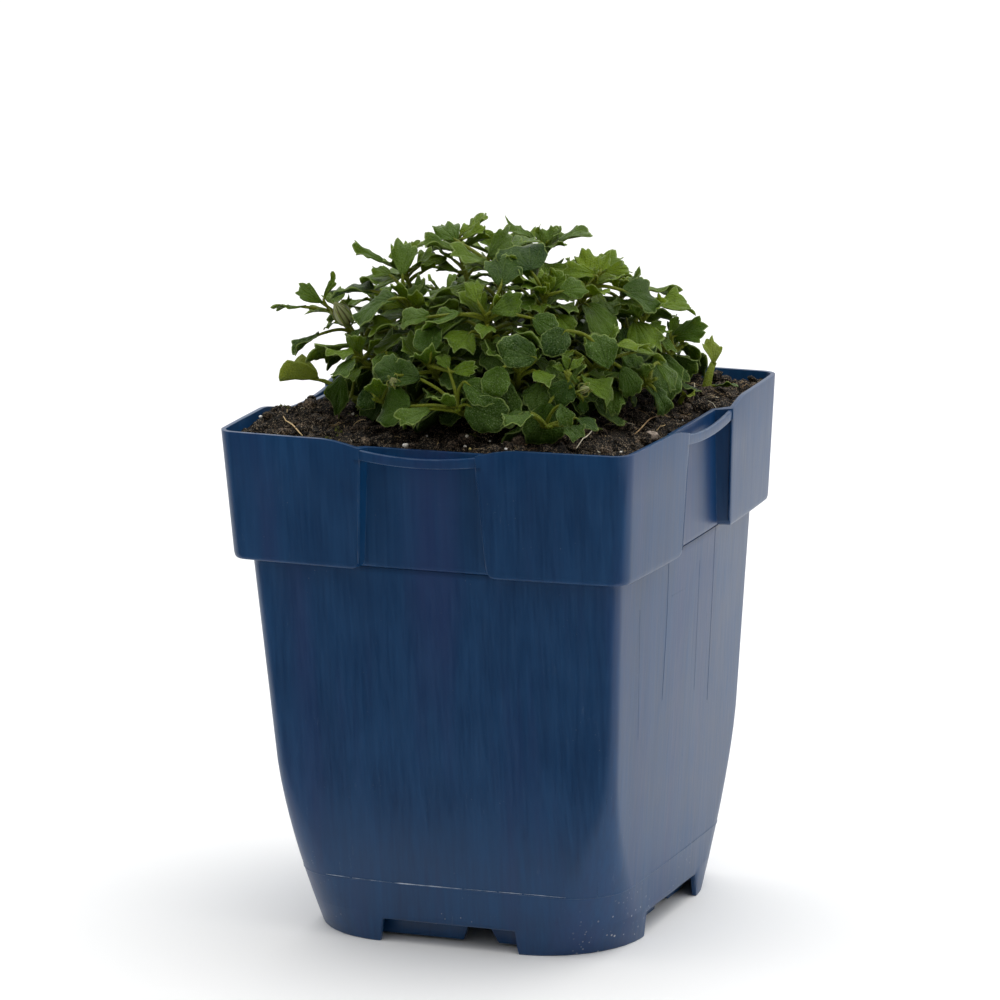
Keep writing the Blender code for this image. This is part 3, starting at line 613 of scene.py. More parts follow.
def makePotFloor():
    # The floor inside the foot, with its nine drain holes.
    low = footRing(foot["floorUnder"], inset=foot["plateInset"])
    floor = loft("floor_plate", [low, atHeight(low, foot["floorTop"])])
    holes = []
    reach = foot["drainReach"]
    for x in (-reach, 0.0, reach):
        for y in (-reach, 0.0, reach):
            bpy.ops.mesh.primitive_cylinder_add(
                vertices=foot["drainSides"], radius=foot["drainRadius"], depth=foot["drainDepth"],
                location=(x, y, foot["floorUnder"] + foot["floorThick"] / 2))
            bpy.ops.object.transform_apply(location=True, rotation=False, scale=False)
            holes.append(bpy.context.object)
    cutter = joinPieces("drain_cutter", holes)
    applyModifier(floor, 'BOOLEAN', operation='DIFFERENCE', object=cutter, solver='EXACT')
    drop(cutter)
    return floor


def bandPoint(quarter, along, z, deep):
    # A point of the band's face on one side, so deep under its skin.
    half = bandHalfAt(z)
    outside = half + bowAt(along, half - cornerRadiusAt(z), z)
    return quarterTurn(quarter) @ Vector((along, -(outside - deep), z))


def makeStrap(quarter):
    rings = []
    for step in range(strap["steps"] + 1):
        along = blend(-strap["half"], strap["half"], step / strap["steps"])
        sag = 1.0 - (along / strap["half"]) ** 2
        top = blend(strap["endTop"], strap["middleTop"], sag)
        low = blend(strap["endFoot"], strap["middleFoot"], sag)
        rings.append([bandPoint(quarter, along, z, strap["sink"] + deep)
                      for z, deep in ((top, 0.0), (top, strap["thickness"]), (low, strap["thickness"]), (low, 0.0))])
    return loft("strap", rings)


def plainFinish(name, first, second, scale, roughness=0.7, bump=0.4):
    finish = Finish(name, Roughness=roughness, Specular_IOR_Level=0.3)
    patch = finish.grain(finish.place(), scale, 4.0, 0.65)
    chance = finish.tones()[1]
    finish.set(Base_Color=finish.mix(finish.between(patch + chance * 0.4 - 0.2, 0.35, 0.65), first, second),
               Normal=finish.bump(patch, bump, 0.3 * mm))
    return finish


# White paint specks about one place of the foot.
speckles = dict(place=tuple(seenAt(603, 925, 5.0 * mm)), reach=17.0 * mm, scale=620.0)


def navyPlastic(name, worn=0.0):
    # Moulded plastic: fine upright streaks, cloudy patches, dust and small pale scuffs, with painted shade under the
    # strap and the band.
    finish = Finish(name, IOR=1.5, Specular_IOR_Level=0.44)
    between, grain = finish.between, finish.grain
    place = finish.place()
    streaks = grain(finish.stretched((1.0, 1.0, 0.025)), 900.0, 2.0, 0.6)
    wide = grain(finish.stretched((1.0, 1.0, 0.08)), 170.0, 3.0, 0.6)
    clouds = grain(place, 28.0, 4.0, 0.6, 0.4)
    violet = between(grain(finish.stretched((1.0, 1.0, 0.06)), 60.0, 3.0, 0.6), 0.52, 0.72)
    scuffs = between(grain(finish.stretched((1.0, 1.0, 0.22), (0.3, 0.2, 0.0)), 420.0, 5.0, 0.7), 0.64, 0.76)
    patches = between(grain(place, 34.0, 2.0, 0.5), 0.50, 0.66)
    wear = between(grain(place, 260.0, 3.0, 0.6), 0.35, 0.62) * worn
    # Painted shade: a darker strip on the panel just under the strap, and one on the body just under the band.
    x, y, z = (finish.split(place, axis) for axis in 'XYZ')
    along = x.size().least(y.size())
    sag = 1.0 - (along * (1.0 / strap["half"])) ** 2
    under = z - (strap["middleFoot"] + (strap["endFoot"] - strap["middleFoot"]) * (1.0 - sag))
    isPanel = between(along, strap["half"] + 0.2 * mm, strap["half"] + 0.6 * mm, 1.0, 0.0)
    paintedShade = between(under, -1.5 * mm, -0.1 * mm) * between(under, 0.0, 0.1 * mm, 1.0, 0.0) * isPanel
    under = z - pot["bandBottom"]
    paintedShade = paintedShade.most(between(under, -1.6 * mm, -0.1 * mm) * between(under, 0.0, 0.1 * mm, 1.0, 0.0))
    speck = finish.node('ShaderNodeVectorMath', dict(operation='DISTANCE'), [place, speckles["place"]], 'Value')
    spots = between(finish.cells(place, speckles["scale"]), 0.14, 0.24, 1.0, 0.0)
    spots = spots * between(speck, speckles["reach"], 0.3 * speckles["reach"])
    dust = between(finish.cells(place, 520.0), 0.05, 0.12, 1.0, 0.0) * between(grain(place, 70.0, 2.0, 0.5), 0.58, 0.68)
    tone = between(streaks * 0.5 + wide * 0.45 + clouds * 0.6, 0.58, 0.94)
    ripple = finish.bump(wide * 0.6 + clouds * 0.5, 0.14, 0.6 * mm)
    finish.set(Base_Color=finish.over((0.0002, 0.0270, 0.090), (tone, (0.0014, 0.0450, 0.136)),
                                      (violet * 0.60, (0.013, 0.029, 0.108)),
                                      (scuffs * patches * 0.42 + wear, (0.110, 0.165, 0.26)),
                                      # painted shade under the strap and the band
                                      (paintedShade * 0.45, (0.0, 0.007, 0.024)),
                                      (spots * between(grain(place, 300.0, 2.0, 0.5), 0.46, 0.52), (0.55, 0.56, 0.54)),
                                      (dust * between(z, 0.0, 0.03, 1.0, 0.15) * 0.7, (0.42, 0.44, 0.46))),
               Roughness=between(streaks * 0.5 + clouds * 0.5, 0.3, 0.7, 0.30, 0.42) + scuffs * 0.12,
               Normal=finish.bump(streaks + scuffs * 0.4, 0.14, 0.12 * mm, ripple))
    return finish


def bodyPoint(pixelX, pixelY, isRight, lift):
    # The point of the front or right face of the body that the camera sees, a little above its skin.
    ray = rayAt(pixelX, pixelY)
    out = Vector((1.0, 0.0, 0.0)) if isRight else Vector((0.0, -1.0, 0.0))
    reach = pot["bodyTopHalf"]
    for time in range(8):
        point = eye + ray * ((reach - eye.dot(out)) / ray.dot(out))
        radius = cornerRadiusAt(point.z)
        middle = bodyHalfAt(point.z) - radius
        along = point.y if isRight else point.x
        over = max(0.0, abs(along) - middle)
        deep = radius - sqrt(max(radius * radius - min(over, radius * 0.98) ** 2, 0.0))
        reach = bodyHalfAt(point.z) + bowAt(along, middle, point.z) - deep + lift
    return point


# Lines in the picture, with their radii in mm: the moulding flash about the foot, and flow marks and scratches on the
# front and the right face of the body.
flashLines = [((326, 874), (350, 877.5), 0.16), ((352, 877.8), (392, 882.6), 0.08), ((394, 882.8), (462, 889), 0.15),
              ((464, 889), (497, 892), 0.07), ((499, 892), (522, 894), 0.17), ((524, 894), (566, 898), 0.10)]
flowLines = [([(669, 559), (667, 620), (662, 700)], 0.055, True), ([(715.5, 526), (711, 620), (707, 700)], 0.05, True),
             ([(672, 596), (687, 588)], 0.05, True), ([(700, 560), (694, 690)], 0.03, True),
             ([(640, 610), (638, 740)], 0.03, True), ([(607, 800), (602, 850), (597, 897)], 0.05, False)]
marks = dict(seed=77, pixelsApart=5, lift=0.05 * mm, uneven=(0.45, 1.25), atEnd=0.3, steps=6, bead=0.34 * mm,
             beadAside=0.2 * mm, beadDeep=0.28 * mm)


def makeMarks(navy):
    # The pale flash where the mould parts, and raised flow marks in the plastic's own colour.
    pale = plainFinish("pale_flash", (0.10, 0.16, 0.26), (0.46, 0.52, 0.62), 260.0, 0.5, 0.2)
    draw = random.Random(marks["seed"])
    flash, flows = [], []
    for (x0, y0), (x1, y1), radius in flashLines:
        count = max(3, int(abs(x1 - x0) / marks["pixelsApart"]))
        points = [bodyPoint(blend(x0, x1, i / count), blend(y0, y1, i / count), False, marks["lift"])
                  for i in range(count + 1)]
        radii = [radius * mm * draw.uniform(*marks["uneven"]) * (marks["atEnd"] if i in (0, count) else 1.0)
                 for i in range(count + 1)]
        flash.append(fineTube(points, radii, 6, 0.0, 0.5, 0.0))
    for line, radius, isRight in flowLines:
        points, radii = rounded([bodyPoint(x, y, isRight, 0.0) for x, y in line], [radius * mm] * len(line))
        flows.append(fineTube(points, radii, 6, 0.0, 0.5, 0.0))
    for quarter in range(4):
        for sign in (-1, 1):
            levels = [blend(pot["bandBottom"] + pot["bandBevel"], strap["endFoot"], step / marks["steps"])
                      for step in range(marks["steps"] + 1)]
            points = [bandPoint(quarter, sign * (recessHalfAt(z) - marks["beadAside"]), z, marks["beadDeep"])
                      for z in levels]
            flows.append(fineTube(points, [marks["bead"]] * len(levels), 8, 0.0, 0.5, 0.0))
    for name, items, finish in (("mould_flash", flash, pale), ("flow_marks", flows, navy)):
        piece = joinPieces(name, items)
        paint(piece, finish)
        dress(piece, "pot_plastic")


def makePot():
    shell, skirt, rib = makePotShell(), makeSkirt(), makeRib()
    straps = joinPieces("pot_straps", [makeStrap(quarter) for quarter in range(4)])
    plate = makePotFloor()
    navy = navyPlastic("navy_plastic")
    edge = navyPlastic("navy_plastic_edge", worn=0.42)
    for item in (shell, skirt, straps, rib):
        paint(item, navy, edge)
        applyModifier(item, 'BEVEL', width=pot["edgeRound"], segments=2, limit_method='ANGLE',
                      angle_limit=radians(38.0), use_clamp_overlap=True, material=1)
    paint(plate, navy, edge)
    whole = joinPieces("pot_body", [shell, skirt, rib, plate])
    for item in (whole, straps):
        smooth(item, 40.0)
    dress(whole, "pot_plastic", "pot")
    dress(straps, "pot_plastic")
    makeMarks(navy)


makePot()
print("the pot is there")


# The peat and what lies on it

# A heap has its middle, its height and its spread in mm. Clods, lumps and grit have their fineness and height.
soil = dict(level=140.4 * mm, cell=0.82 * mm, reach=58.3 * mm, recessReach=52.6 * mm, recessHalf=19.2 * mm,
            corner=4.0 * mm, crust=1.1 * mm, heaps=((-52, -26, 3.2, 230.0), (44, 40, 1.6, 260.0)), half=60.0,
            falling=(0.8, 5.0), rise=0.85, clods=(0.16, 1.25), lumps=(0.42, 0.45, 1.5), grit=(1.3, 0.40), seed=811)

# The loose crumbs: how many, their radius in mm, how deep each lies and how flat it is.
crumb = dict(count=3400, smallest=0.30, larger=2.0, rare=5.5, roundFrom=1.05, depth=(-0.1, 0.45),
             long=(0.8, 1.3), wide=(0.7, 1.1), high=(0.5, 0.9))


def soilHeight(x, y):
    # Lumpy peat, heaped a little in two corners and lower along the wall.
    u, v = x / mm, y / mm
    high = 0.9 * sin(0.19 * u + 0.7) * cos(0.17 * v - 0.4)
    high += 0.6 * sin(0.41 * u - 0.29 * v) + 0.35 * cos(0.53 * v + 0.33 * u + 1.1)
    for across, along, top, wide in soil["heaps"]:
        high += top * exp(-((u - across) ** 2 + (v - along) ** 2) / wide)
    start, fall = soil["falling"]
    return soil["level"] + (high - max(0.0, max(abs(u), abs(v)) / soil["half"] - start) * fall) * mm


def insidePot(x, y):
    low, high = sorted((abs(x), abs(y)))
    middle = soil["reach"] - soil["corner"]
    isRound = low > middle and hypot(low - middle, high - middle) > soil["corner"]
    return not (high > soil["reach"] or (high > soil["recessReach"] and low < soil["recessHalf"]) or isRound)


def crustHeight(x, y):
    # The peat's surface with its clods and crumbs.
    place = Vector((x, y, 0.0)) / mm
    (clodScale, clod), (lumpScale, middle, lump), (gritScale, grit) = soil["clods"], soil["lumps"], soil["grit"]
    high = soil["rise"] + clod * noise.fractal(place * clodScale, 1.0, 2.0, 4)
    high += lump * (middle - noise.voronoi(place * lumpScale)[0][0])
    return soilHeight(x, y) + (high + grit * noise.noise(place * gritScale)) * mm


def peatFinish():
    finish = Finish("peat", Specular_IOR_Level=0.22)
    between = finish.between
    place = finish.place()
    chance = finish.tones()[1]
    coarse = finish.grain(place, 300.0, 5.0, 0.7, 0.6)
    fine = finish.grain(place, 1900.0, 4.0, 0.75)
    fibres = between(finish.grain(finish.stretched((1.0, 0.14, 1.0), (0.3, 0.5, 0.8)), 2100.0, 3.0, 0.6), 0.585, 0.70)
    golden = between(finish.grain(place, 2700.0, 2.0, 0.6) + coarse * 0.3, 0.725, 0.79)
    finish.set(Base_Color=finish.over((0.0008, 0.0006, 0.0004), (between(coarse, 0.46, 0.68), (0.0046, 0.0040, 0.0024)),
                                      (between(chance, 0.72, 1.0) * 0.8, (0.036, 0.024, 0.015)),
                                      (between(fine + chance * 0.16, 0.625, 0.72), (0.165, 0.118, 0.080)),
                                      (golden, (0.34, 0.26, 0.17)), (fibres * 0.55, (0.15, 0.105, 0.066)),
                                      (between(fine, 0.40, 0.50, 0.95, 0.0), (0.0005, 0.0004, 0.0003))),
               Roughness=between(fine, 0.3, 0.7, 0.62, 0.95),
               Normal=finish.bump(coarse + fine * 0.9 + fibres * 0.4, 1.0, 0.6 * mm))
    return finish


def makeCrust():
    size = 2 * soil["reach"]
    count = int(size / soil["cell"])
    bpy.ops.mesh.primitive_grid_add(x_subdivisions=count, y_subdivisions=count, size=size)
    crust = bpy.context.object
    crust.name = "peat_crust"
    co = pointsOf(crust)
    for row in co:
        row[2] = crustHeight(float(row[0]), float(row[1]))
    setPoints(crust, co)
    bpy.ops.object.mode_set(mode='EDIT')
    bpy.ops.mesh.select_mode(type='FACE')
    bpy.ops.mesh.select_all(action='DESELECT')
    bm = bmesh.from_edit_mesh(crust.data)
    for face in bm.faces:
        face.select = not insidePot(*face.calc_center_median().xy)
    bmesh.update_edit_mesh(crust.data)
    bpy.ops.mesh.delete(type='FACE')
    bpy.ops.mesh.select_mode(type='VERT')
    bpy.ops.object.mode_set(mode='OBJECT')
    applyModifier(crust, 'SOLIDIFY', thickness=soil["crust"], offset=-1.0)
    setTone(crust, 0.0, 0.3, 0.0)
    return crust


def rockMaster(detail, roughness, seed):
    # A lump with a few dozen faces, knobbly all over.
    bpy.ops.mesh.primitive_ico_sphere_add(subdivisions=detail, radius=1.0)
    item = bpy.context.object
    offset = Vector((seed * 3.1, seed * 1.7, seed * 0.9))
    for vert in item.data.vertices:
        bulge = noise.noise(vert.co * 1.3 + offset) + 0.5 * noise.noise(vert.co * 2.9 + offset)
        vert.co *= 1.0 + roughness * bulge
    return item


def randomTurn(draw, around=6.283, over=3.14):
    return Matrix.Rotation(draw.uniform(0, around), 4, 'Z') @ Matrix.Rotation(draw.uniform(0, over), 4, 'X')


def laid(master, point, turn, size, shape=(1.0, 1.0, 1.0)):
    return copyOf(master, Matrix.Translation(point) @ turn @ Matrix.Diagonal((*shape, 1.0)) @ Matrix.Scale(size, 4))


def makeCrumbs(draw):
    masters = [rockMaster(2, 0.42, seed) for seed in range(3)] + [rockMaster(1, 0.35, seed) for seed in range(3, 6)]
    drawn = drawing(draw, crumb)
    items = []
    while len(items) < crumb["count"]:
        x = draw.uniform(-soil["reach"], soil["reach"])
        y = draw.uniform(-soil["reach"], soil["reach"])
        size = crumb["smallest"] + crumb["larger"] * draw.random() ** crumb["rare"]
        near = size * mm * 1.1
        if not insidePot(x + copysign(near, x), y + copysign(near, y)):
            continue
        item = laid(masters[draw.randrange(3) + (0 if size > crumb["roundFrom"] else 3)],
                    (x, y, crustHeight(x, y) + size * mm * drawn("depth")), randomTurn(draw), size * mm,
                    (drawn("long"), drawn("wide"), drawn("high")))
        setTone(item, 0.0, draw.random(), 0.0)
        items.append(item)
    drop(*masters)
    return joinPieces("peat_crumbs", items)


def restingAt(pixelX, pixelY, lift=0.0):
    # The point of the peat's surface that the camera sees at a place in the picture.
    point = seenAt(pixelX, pixelY, soil["level"])
    for time in range(6):
        point = seenAt(pixelX, pixelY, crustHeight(point.x, point.y) + lift)
    while not insidePot(point.x * 1.02, point.y * 1.02):
        point.x *= 0.99
        point.y *= 0.99
        point.z = crustHeight(point.x, point.y) + lift
    return point


# What lies on the peat: the finish of each piece, with its two colours and how fine its patches are.
litter = dict(perlite=("perlite_white", (0.62, 0.57, 0.48), (0.92, 0.90, 0.84), 900.0),
              husks=("husk_yellow", (0.30, 0.22, 0.05), (0.45, 0.36, 0.12), 900.0),
              straws=("straw_brown", (0.22, 0.135, 0.060), (0.60, 0.44, 0.22), 300.0),
              root_fibres=("root_pale", (0.46, 0.38, 0.24), (0.85, 0.78, 0.60), 300.0),
              stone=("stone_grey", (0.11, 0.080, 0.058), (0.46, 0.38, 0.31), 1100.0))

# Where each thing shows in the picture, with its radius in mm, how far a straw arches up, and a tuft's leaves.
perliteSpots = [(399, 433, 0.62), (384, 441, 0.60), (397, 445, 0.72), (467, 436, 0.50), (465, 447, 0.55),
                (353, 414, 0.40), (361, 409, 0.42), (506, 449, 0.36), (318, 397, 0.38), (427, 436, 0.34),
                (490, 441, 0.32), (541, 440, 0.30), (708, 377, 0.9), (621, 452, 0.34), (243, 423, 0.5)]
huskSpots = [(589, 446, 0.85), (449, 421, 0.5), (470, 449, 0.4), (452, 424, 0.35)]
stoneSpot = (650, 436)
strawLines = [((284, 420), (303, 436), 0.22, 0.6, "straws"), ((577, 449), (600, 430), 0.17, 1.6, "root_fibres"),
              ((633, 437), (662, 416), 0.19, 1.5, "straws"), ((443, 420), (455, 421), 0.33, 0.9, "root_fibres"),
              ((602, 428), (637, 426), 0.12, 1.0, "root_fibres"), ((353, 428), (372, 425), 0.12, 0.8, "straws")]
mossSpots = [(259, 412, 3.4, 70), (247, 417, 1.6, 20), (322, 436, 3.8, 80), (335, 438, 2.2, 30), (352, 412, 1.6, 24),
             (299, 383, 1.8, 26), (473, 444, 1.2, 14)]
spare = dict(grains=26, grainReach=56, fibres=260, fibreReach=57)


def makeStraw(draw, start, end, radius, arch):
    first, last = restingAt(*start, 0.5 * mm), restingAt(*end, 0.5 * mm)
    points = []
    for step in range(9):
        t = step / 8
        point = first.lerp(last, t)
        point.z = max(point.z, crustHeight(point.x, point.y)) + arch * mm * 4 * t * (1 - t)
        points.append(point + Vector((sin(7 * t + first.x * 900), cos(6 * t), 0.0)) * 0.35 * mm)
    radii = [radius * mm * (1.0 - 0.4 * abs(2 * step / 8 - 1) ** 3) for step in range(9)]
    return fineTube(points, radii, 6, 0.0, draw.random(), 0.0)


def makeFibre(draw, heaps):
    # A root fibre across the peat, left out where it would reach through the pot.
    reach = spare["fibreReach"]
    x, y = draw.uniform(-reach, reach) * mm, draw.uniform(-reach, reach) * mm
    if not insidePot(x, y):
        return
    turn = draw.uniform(0, 6.28)
    length = draw.uniform(2.0, 9.0) * mm
    bend = draw.uniform(-1.4, 1.4)
    points = []
    for step in range(6):
        t = step / 5 - 0.5
        way = wayAt(turn + bend * t) * length * t
        px, py = x + way.x, y + way.y
        if not insidePot(px, py):
            return
        points.append(Vector((px, py, crustHeight(px, py) + draw.uniform(0.1, 0.8) * mm)))
    tube = fineTube(points, [draw.uniform(0.05, 0.14) * mm] * 6, 4, 0.0, draw.random(), 0.0)
    heaps["straws" if draw.random() < 0.8 else "root_fibres"].append(tube)


def makeLitter(draw):
    # Perlite, a stone, husks, straws and root fibres.
    heaps = {name: [] for name in litter}
    grains, master = heaps["perlite"], rockMaster(2, 0.28, 9)
    for pixelX, pixelY, radius in perliteSpots:
        point = restingAt(pixelX, pixelY, (radius * 0.5 + 0.8) * mm)
        grains.append(laid(master, point, randomTurn(draw), 1.15 * radius * mm, (1.0, 0.85, 0.75)))
    reach = spare["grainReach"]
    while len(grains) < len(perliteSpots) + spare["grains"]:
        x, y = draw.uniform(-reach, reach) * mm, draw.uniform(-reach, reach) * mm
        radius = draw.uniform(0.22, 0.55) * mm
        if insidePot(x, y) and (y > 0 or abs(x) < 30 * mm):
            grains.append(laid(master, (x, y, crustHeight(x, y) + 0.4 * radius), randomTurn(draw), radius))
    for pixelX, pixelY, radius in huskSpots:
        point = restingAt(pixelX, pixelY, (radius * 0.5 + 0.6) * mm)
        heaps["husks"].append(laid(master, point, randomTurn(draw), radius * mm))
    stone = laid(master, restingAt(*stoneSpot, 0.9 * mm), Matrix.Rotation(0.5, 4, 'Z'), 1.0,
                 (2.3 * mm, 1.9 * mm, 1.5 * mm))
    applyModifier(stone, 'SUBSURF', levels=2, render_levels=2)
    heaps["stone"].append(stone)
    drop(master)
    for start, end, radius, arch, name in strawLines:
        heaps[name].append(makeStraw(draw, start, end, radius, arch))
    for time in range(spare["fibres"]):
        makeFibre(draw, heaps)
    for name, items in heaps.items():
        for item in items:
            if not item.data.attributes.get("tone"):
                setTone(item, 0.0, draw.random(), 0.0)
        piece = joinPieces(name, items)
        smooth(piece)
        paint(piece, plainFinish(*litter[name]))
        dress(piece, "peat_soil")


def makeMoss(draw):
    # Cushions of small pointed moss leaves.
    bpy.ops.mesh.primitive_cone_add(vertices=4, radius1=0.28, radius2=0.0, depth=1.0, location=(0.0, 0.0, 0.0))
    master = bpy.context.object
    items = []
    for pixelX, pixelY, spread, count in mossSpots:
        middle = restingAt(pixelX, pixelY)
        for i in range(count):
            away = spread * mm * sqrt(draw.random())
            turn = draw.uniform(0, 6.28)
            x, y = middle.x + away * cos(turn), middle.y + away * sin(turn)
            if not insidePot(x, y):
                continue
            size = draw.uniform(0.5, 1.2) * mm
            item = laid(master, (x, y, crustHeight(x, y) + 0.35 * size), randomTurn(draw, 6.28, 1.1), size)
            setTone(item, 0.0, draw.random(), 0.0)
            items.append(item)
    drop(master)
    moss = joinPieces("moss", items)
    paint(moss, plainFinish("moss_green", (0.050, 0.062, 0.008), (0.14, 0.15, 0.020), 800.0))
    dress(moss, "leaf_green")


def makeSoil():
    draw = random.Random(soil["seed"])
    peat = peatFinish()
    for item in (makeCrust(), makeCrumbs(draw)):
        paint(item, peat)
        smooth(item, 24.0)
        dress(item, "peat_soil")
    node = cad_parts["soil"]
    node.data.materials.clear()
    node.data.materials.append(peat.material)
    makeLitter(draw)
    makeMoss(draw)


makeSoil()
print("the peat is there")


# The plant: the same rule of growth as the solids', with the same draws

plant = dict(stemFoot=1.05 * mm, stemTip=0.65 * mm, spans=3, sunk=7.0 * mm, upright=9.5 * mm, lift=2.3 * mm,
             startShare=0.46, petioleHalf=0.58 * mm, bladeThick=0.62 * mm, deepNotch=0.77, shallowNotch=0.82,
             golden=radians(137.5), clearance=0.22 * mm, spread=1.04, budGap=0.3 * mm,
             budShape=((0.0, 0.36), (0.18, 0.80), (0.5, 1.0), (0.8, 0.62), (1.0, 0.16)),
             sevenTeeth=15.7 * mm, tries=110, smallerAfter=60, smaller=0.85, reach=61.0 * mm, insideRim=51.5 * mm,
             rimClearance=2.6 * mm, soilClearance=1.0 * mm, secondUp=0.30, secondAside=0.15, tipLean=0.45,
             tipDrop=0.35, seed=4100)

# How a grown leaf stands, and pairs from the oldest leaf to the youngest. Angles are in degrees.
stance = dict(rise=(34.0, 58.0), riseLoose=(-12.0, 14.0), around=(0.72, 1.0), loose=0.15, looser=0.04,
              roll=(-16.0, 16.0), pitch=(-16.0, 16.0), cup=(-0.40, 0.05), fold=(0.04, 0.26), stemLoose=(-0.05, 0.02),
              outward=(0.6, 0.15), outwardFrom=25 * mm, drooping=(0.78, 0.50), raised=(0.0, 38.0),
              stalkShort=3.2, stalkLonger=10.5, narrow=0.64, wider=0.44, sizeLoose=(0.94, 1.10),
              stalkLoose=(0.9, 1.15), back=148.0, centre=0.47)

# Each shoot: the place of its tip in mm, its number of leaves and the width of its largest leaf in mm.
shootPlan = [
    ((-14, 3, 187), 8, 13.0), ((5, -13, 184), 8, 14.5), ((-28, -4, 181), 8, 13.0), ((-44, -14, 169), 7, 11.0),
    ((26, 2, 178), 8, 13.0), ((38, 14, 168), 8, 12.5), ((45, 22, 158), 6, 12.5), ((8, -30, 174), 8, 14.5),
    ((20, -36, 161), 6, 14.5), ((-6, -39, 162), 7, 14.0), ((-19, -44, 152), 6, 13.5), ((33, -33, 156), 6, 13.0),
    ((38, -19, 163), 7, 13.0), ((47, -7, 154), 6, 12.5), ((-31, -30, 161), 6, 14.0), ((20, -16, 178), 7, 13.5),
    ((-20, -19, 174), 7, 14.0), ((6, -47, 151), 6, 14.0), ((32, -46, 148), 6, 14.0), ((-43, 12, 167), 5, 13.0),
    ((-30, 28, 168), 7, 13.5), ((-9, 24, 181), 7, 13.5), ((9, 12, 186), 6, 13.5), ((12, 34, 172), 7, 14.0),
    ((28, 22, 172), 5, 13.0), ((-14, 43, 157), 5, 13.5), ((34, 40, 153), 5, 13.0), ((-42, 34, 153), 5, 13.0),
    ((9, 49, 151), 5, 13.5), ((-50, -30, 150), 5, 13.0),
]

# Each lone plantlet: the foot of its stem and the end of it in mm, and its leaves.
plantletPlan = [
    ("young_leaf", (-34, -16), (-45.5, -19.5, 151.0), [(184, 22, 62, 10.5, 0.85)]),
    ("seedling", (46, 41), (47, 41, 149.5), [(-62, 34, 0, 5.2, 0.25), (18, 2, 0, 6.4, 0.12)]),
    ("sprout", (45, 19), (46.5, 18.0, 144.6), [(-50, 12, 0, 4.4, 0.2)]),
]

# Each bud: the shoot it hangs on, where along its stem, the tip of the bud in mm, its length and radius in mm.
budPlan = [
    ("bud_left", 3, 0.70, (-41.0, -20.5, 173.5), 8.5, 2.5),
    ("bud_front", 10, 0.55, (-12.0, -49.0, 159.5), 4.6, 1.7),
    ("bud_right", 11, 0.62, (40.5, -37.5, 157.5), 4.6, 1.7),
]


def bezierPoint(a, b, c, d, t):
    s = 1.0 - t
    return a * (s * s * s) + b * (3 * s * s * t) + c * (3 * s * t * t) + d * (t * t * t)


def stemLine(tip):
    # A stem rises straight out of the soil, leans out and turns up again at its tip.
    start = Vector((tip.x * plant["startShare"], tip.y * plant["startShare"], soil["level"] - plant["sunk"]))
    above = start + upBy(plant["upright"])
    height = tip.z - above.z
    aside = Vector((tip.x - start.x, tip.y - start.y, 0.0))
    lean = aside.normalized() if aside.length > 1.0 * mm else Vector()
    second = above + upBy(height * plant["secondUp"] + plant["lift"]) + aside * plant["secondAside"]
    third = tip - (lean * plant["tipLean"] + upBy(1.0)).normalized() * height * plant["tipDrop"]
    spans = plant["spans"]
    return [start] + [bezierPoint(above, second, third, tip, t / spans) for t in range(spans + 1)]


def stemPoint(tip, t):
    # A point on the middle of the stem, at a share of its way from the soil to its tip.
    line = stemLine(tip)[1:]
    spans = plant["spans"]
    span = min(int(t * spans), spans - 1)
    return line[span].lerp(line[span + 1], t * spans - span)


def leafOutline(width, teeth):
    points = [(-plant["petioleHalf"], 0.0)]
    centre = stance["centre"] * width
    steps = 2 * teeth
    for index in range(steps + 1):
        angle = radians(blend(-stance["back"], stance["back"], index / steps))
        reach = 0.5 * width * (1.0 + 0.10 * cos(angle))
        if index % 2 == 0 and 0 < index < steps:
            reach *= plant["deepNotch"] if teeth == 5 else plant["shallowNotch"]
        points.append((reach * sin(angle), centre + reach * cos(angle)))
    return points + [(plant["petioleHalf"], 0.0)]


def plainLeaf(grown, thickness=0.5 * mm, grow=1.0):
    # The simple blade that the growth is tried with.
    width, place = grown["width"], grown["place"]
    bm = bmesh.new()
    outline = leafOutline(width, grown["teeth"])
    last = len(outline) - 1
    tip = last // 2
    rows = []
    for level in (0.5 * thickness, -0.5 * thickness):
        row = []
        for x, y in outline:
            point = Vector((x * grow, (y - 0.4 * width) * grow + 0.4 * width, 0.0))
            rise = grown["fold"] * abs(point.x / width) + grown["cup"] * max(0.0, point.y / width - 0.1) ** 2
            point.z = width * rise + level
            row.append(bm.verts.new(place @ point))
        rows.append(row)
    for row in rows:
        for i in range(1, tip):
            bm.faces.new((row[0], row[i], row[i + 1]))
        bm.faces.new((row[0], row[tip], row[last]))
        for i in range(tip, last - 1):
            bm.faces.new((row[last], row[i], row[i + 1]))
    upper, lower = rows
    for i in range(last):
        bm.faces.new((upper[i], upper[i + 1], lower[i + 1]))
        bm.faces.new((upper[i], lower[i + 1], lower[i]))
    bm.faces.new((upper[0], upper[last], lower[last], lower[0]))
    return bm


def plainTube(points, radii, sides):
    bm = bmesh.new()
    rows = [[bm.verts.new(p) for p in ring] for ring in tubeRings(points, radii, sides)]
    for low, high in zip(rows, rows[1:]):
        for i in range(sides):
            j = (i + 1) % sides
            bm.faces.new((low[i], low[j], high[j]))
            bm.faces.new((low[i], high[j], high[i]))
    bm.faces.new(rows[0])
    bm.faces.new(rows[-1])
    return bm


def leafFrame(origin, azimuth, pitch, roll):
    # The blade lies along +Y of this frame and faces its +Z.
    turn = Matrix.Rotation(azimuth - pi / 2, 4, 'Z') @ Matrix.Rotation(pitch, 4, 'X')
    return Matrix.Translation(origin) @ turn @ Matrix.Rotation(roll, 4, 'Y')


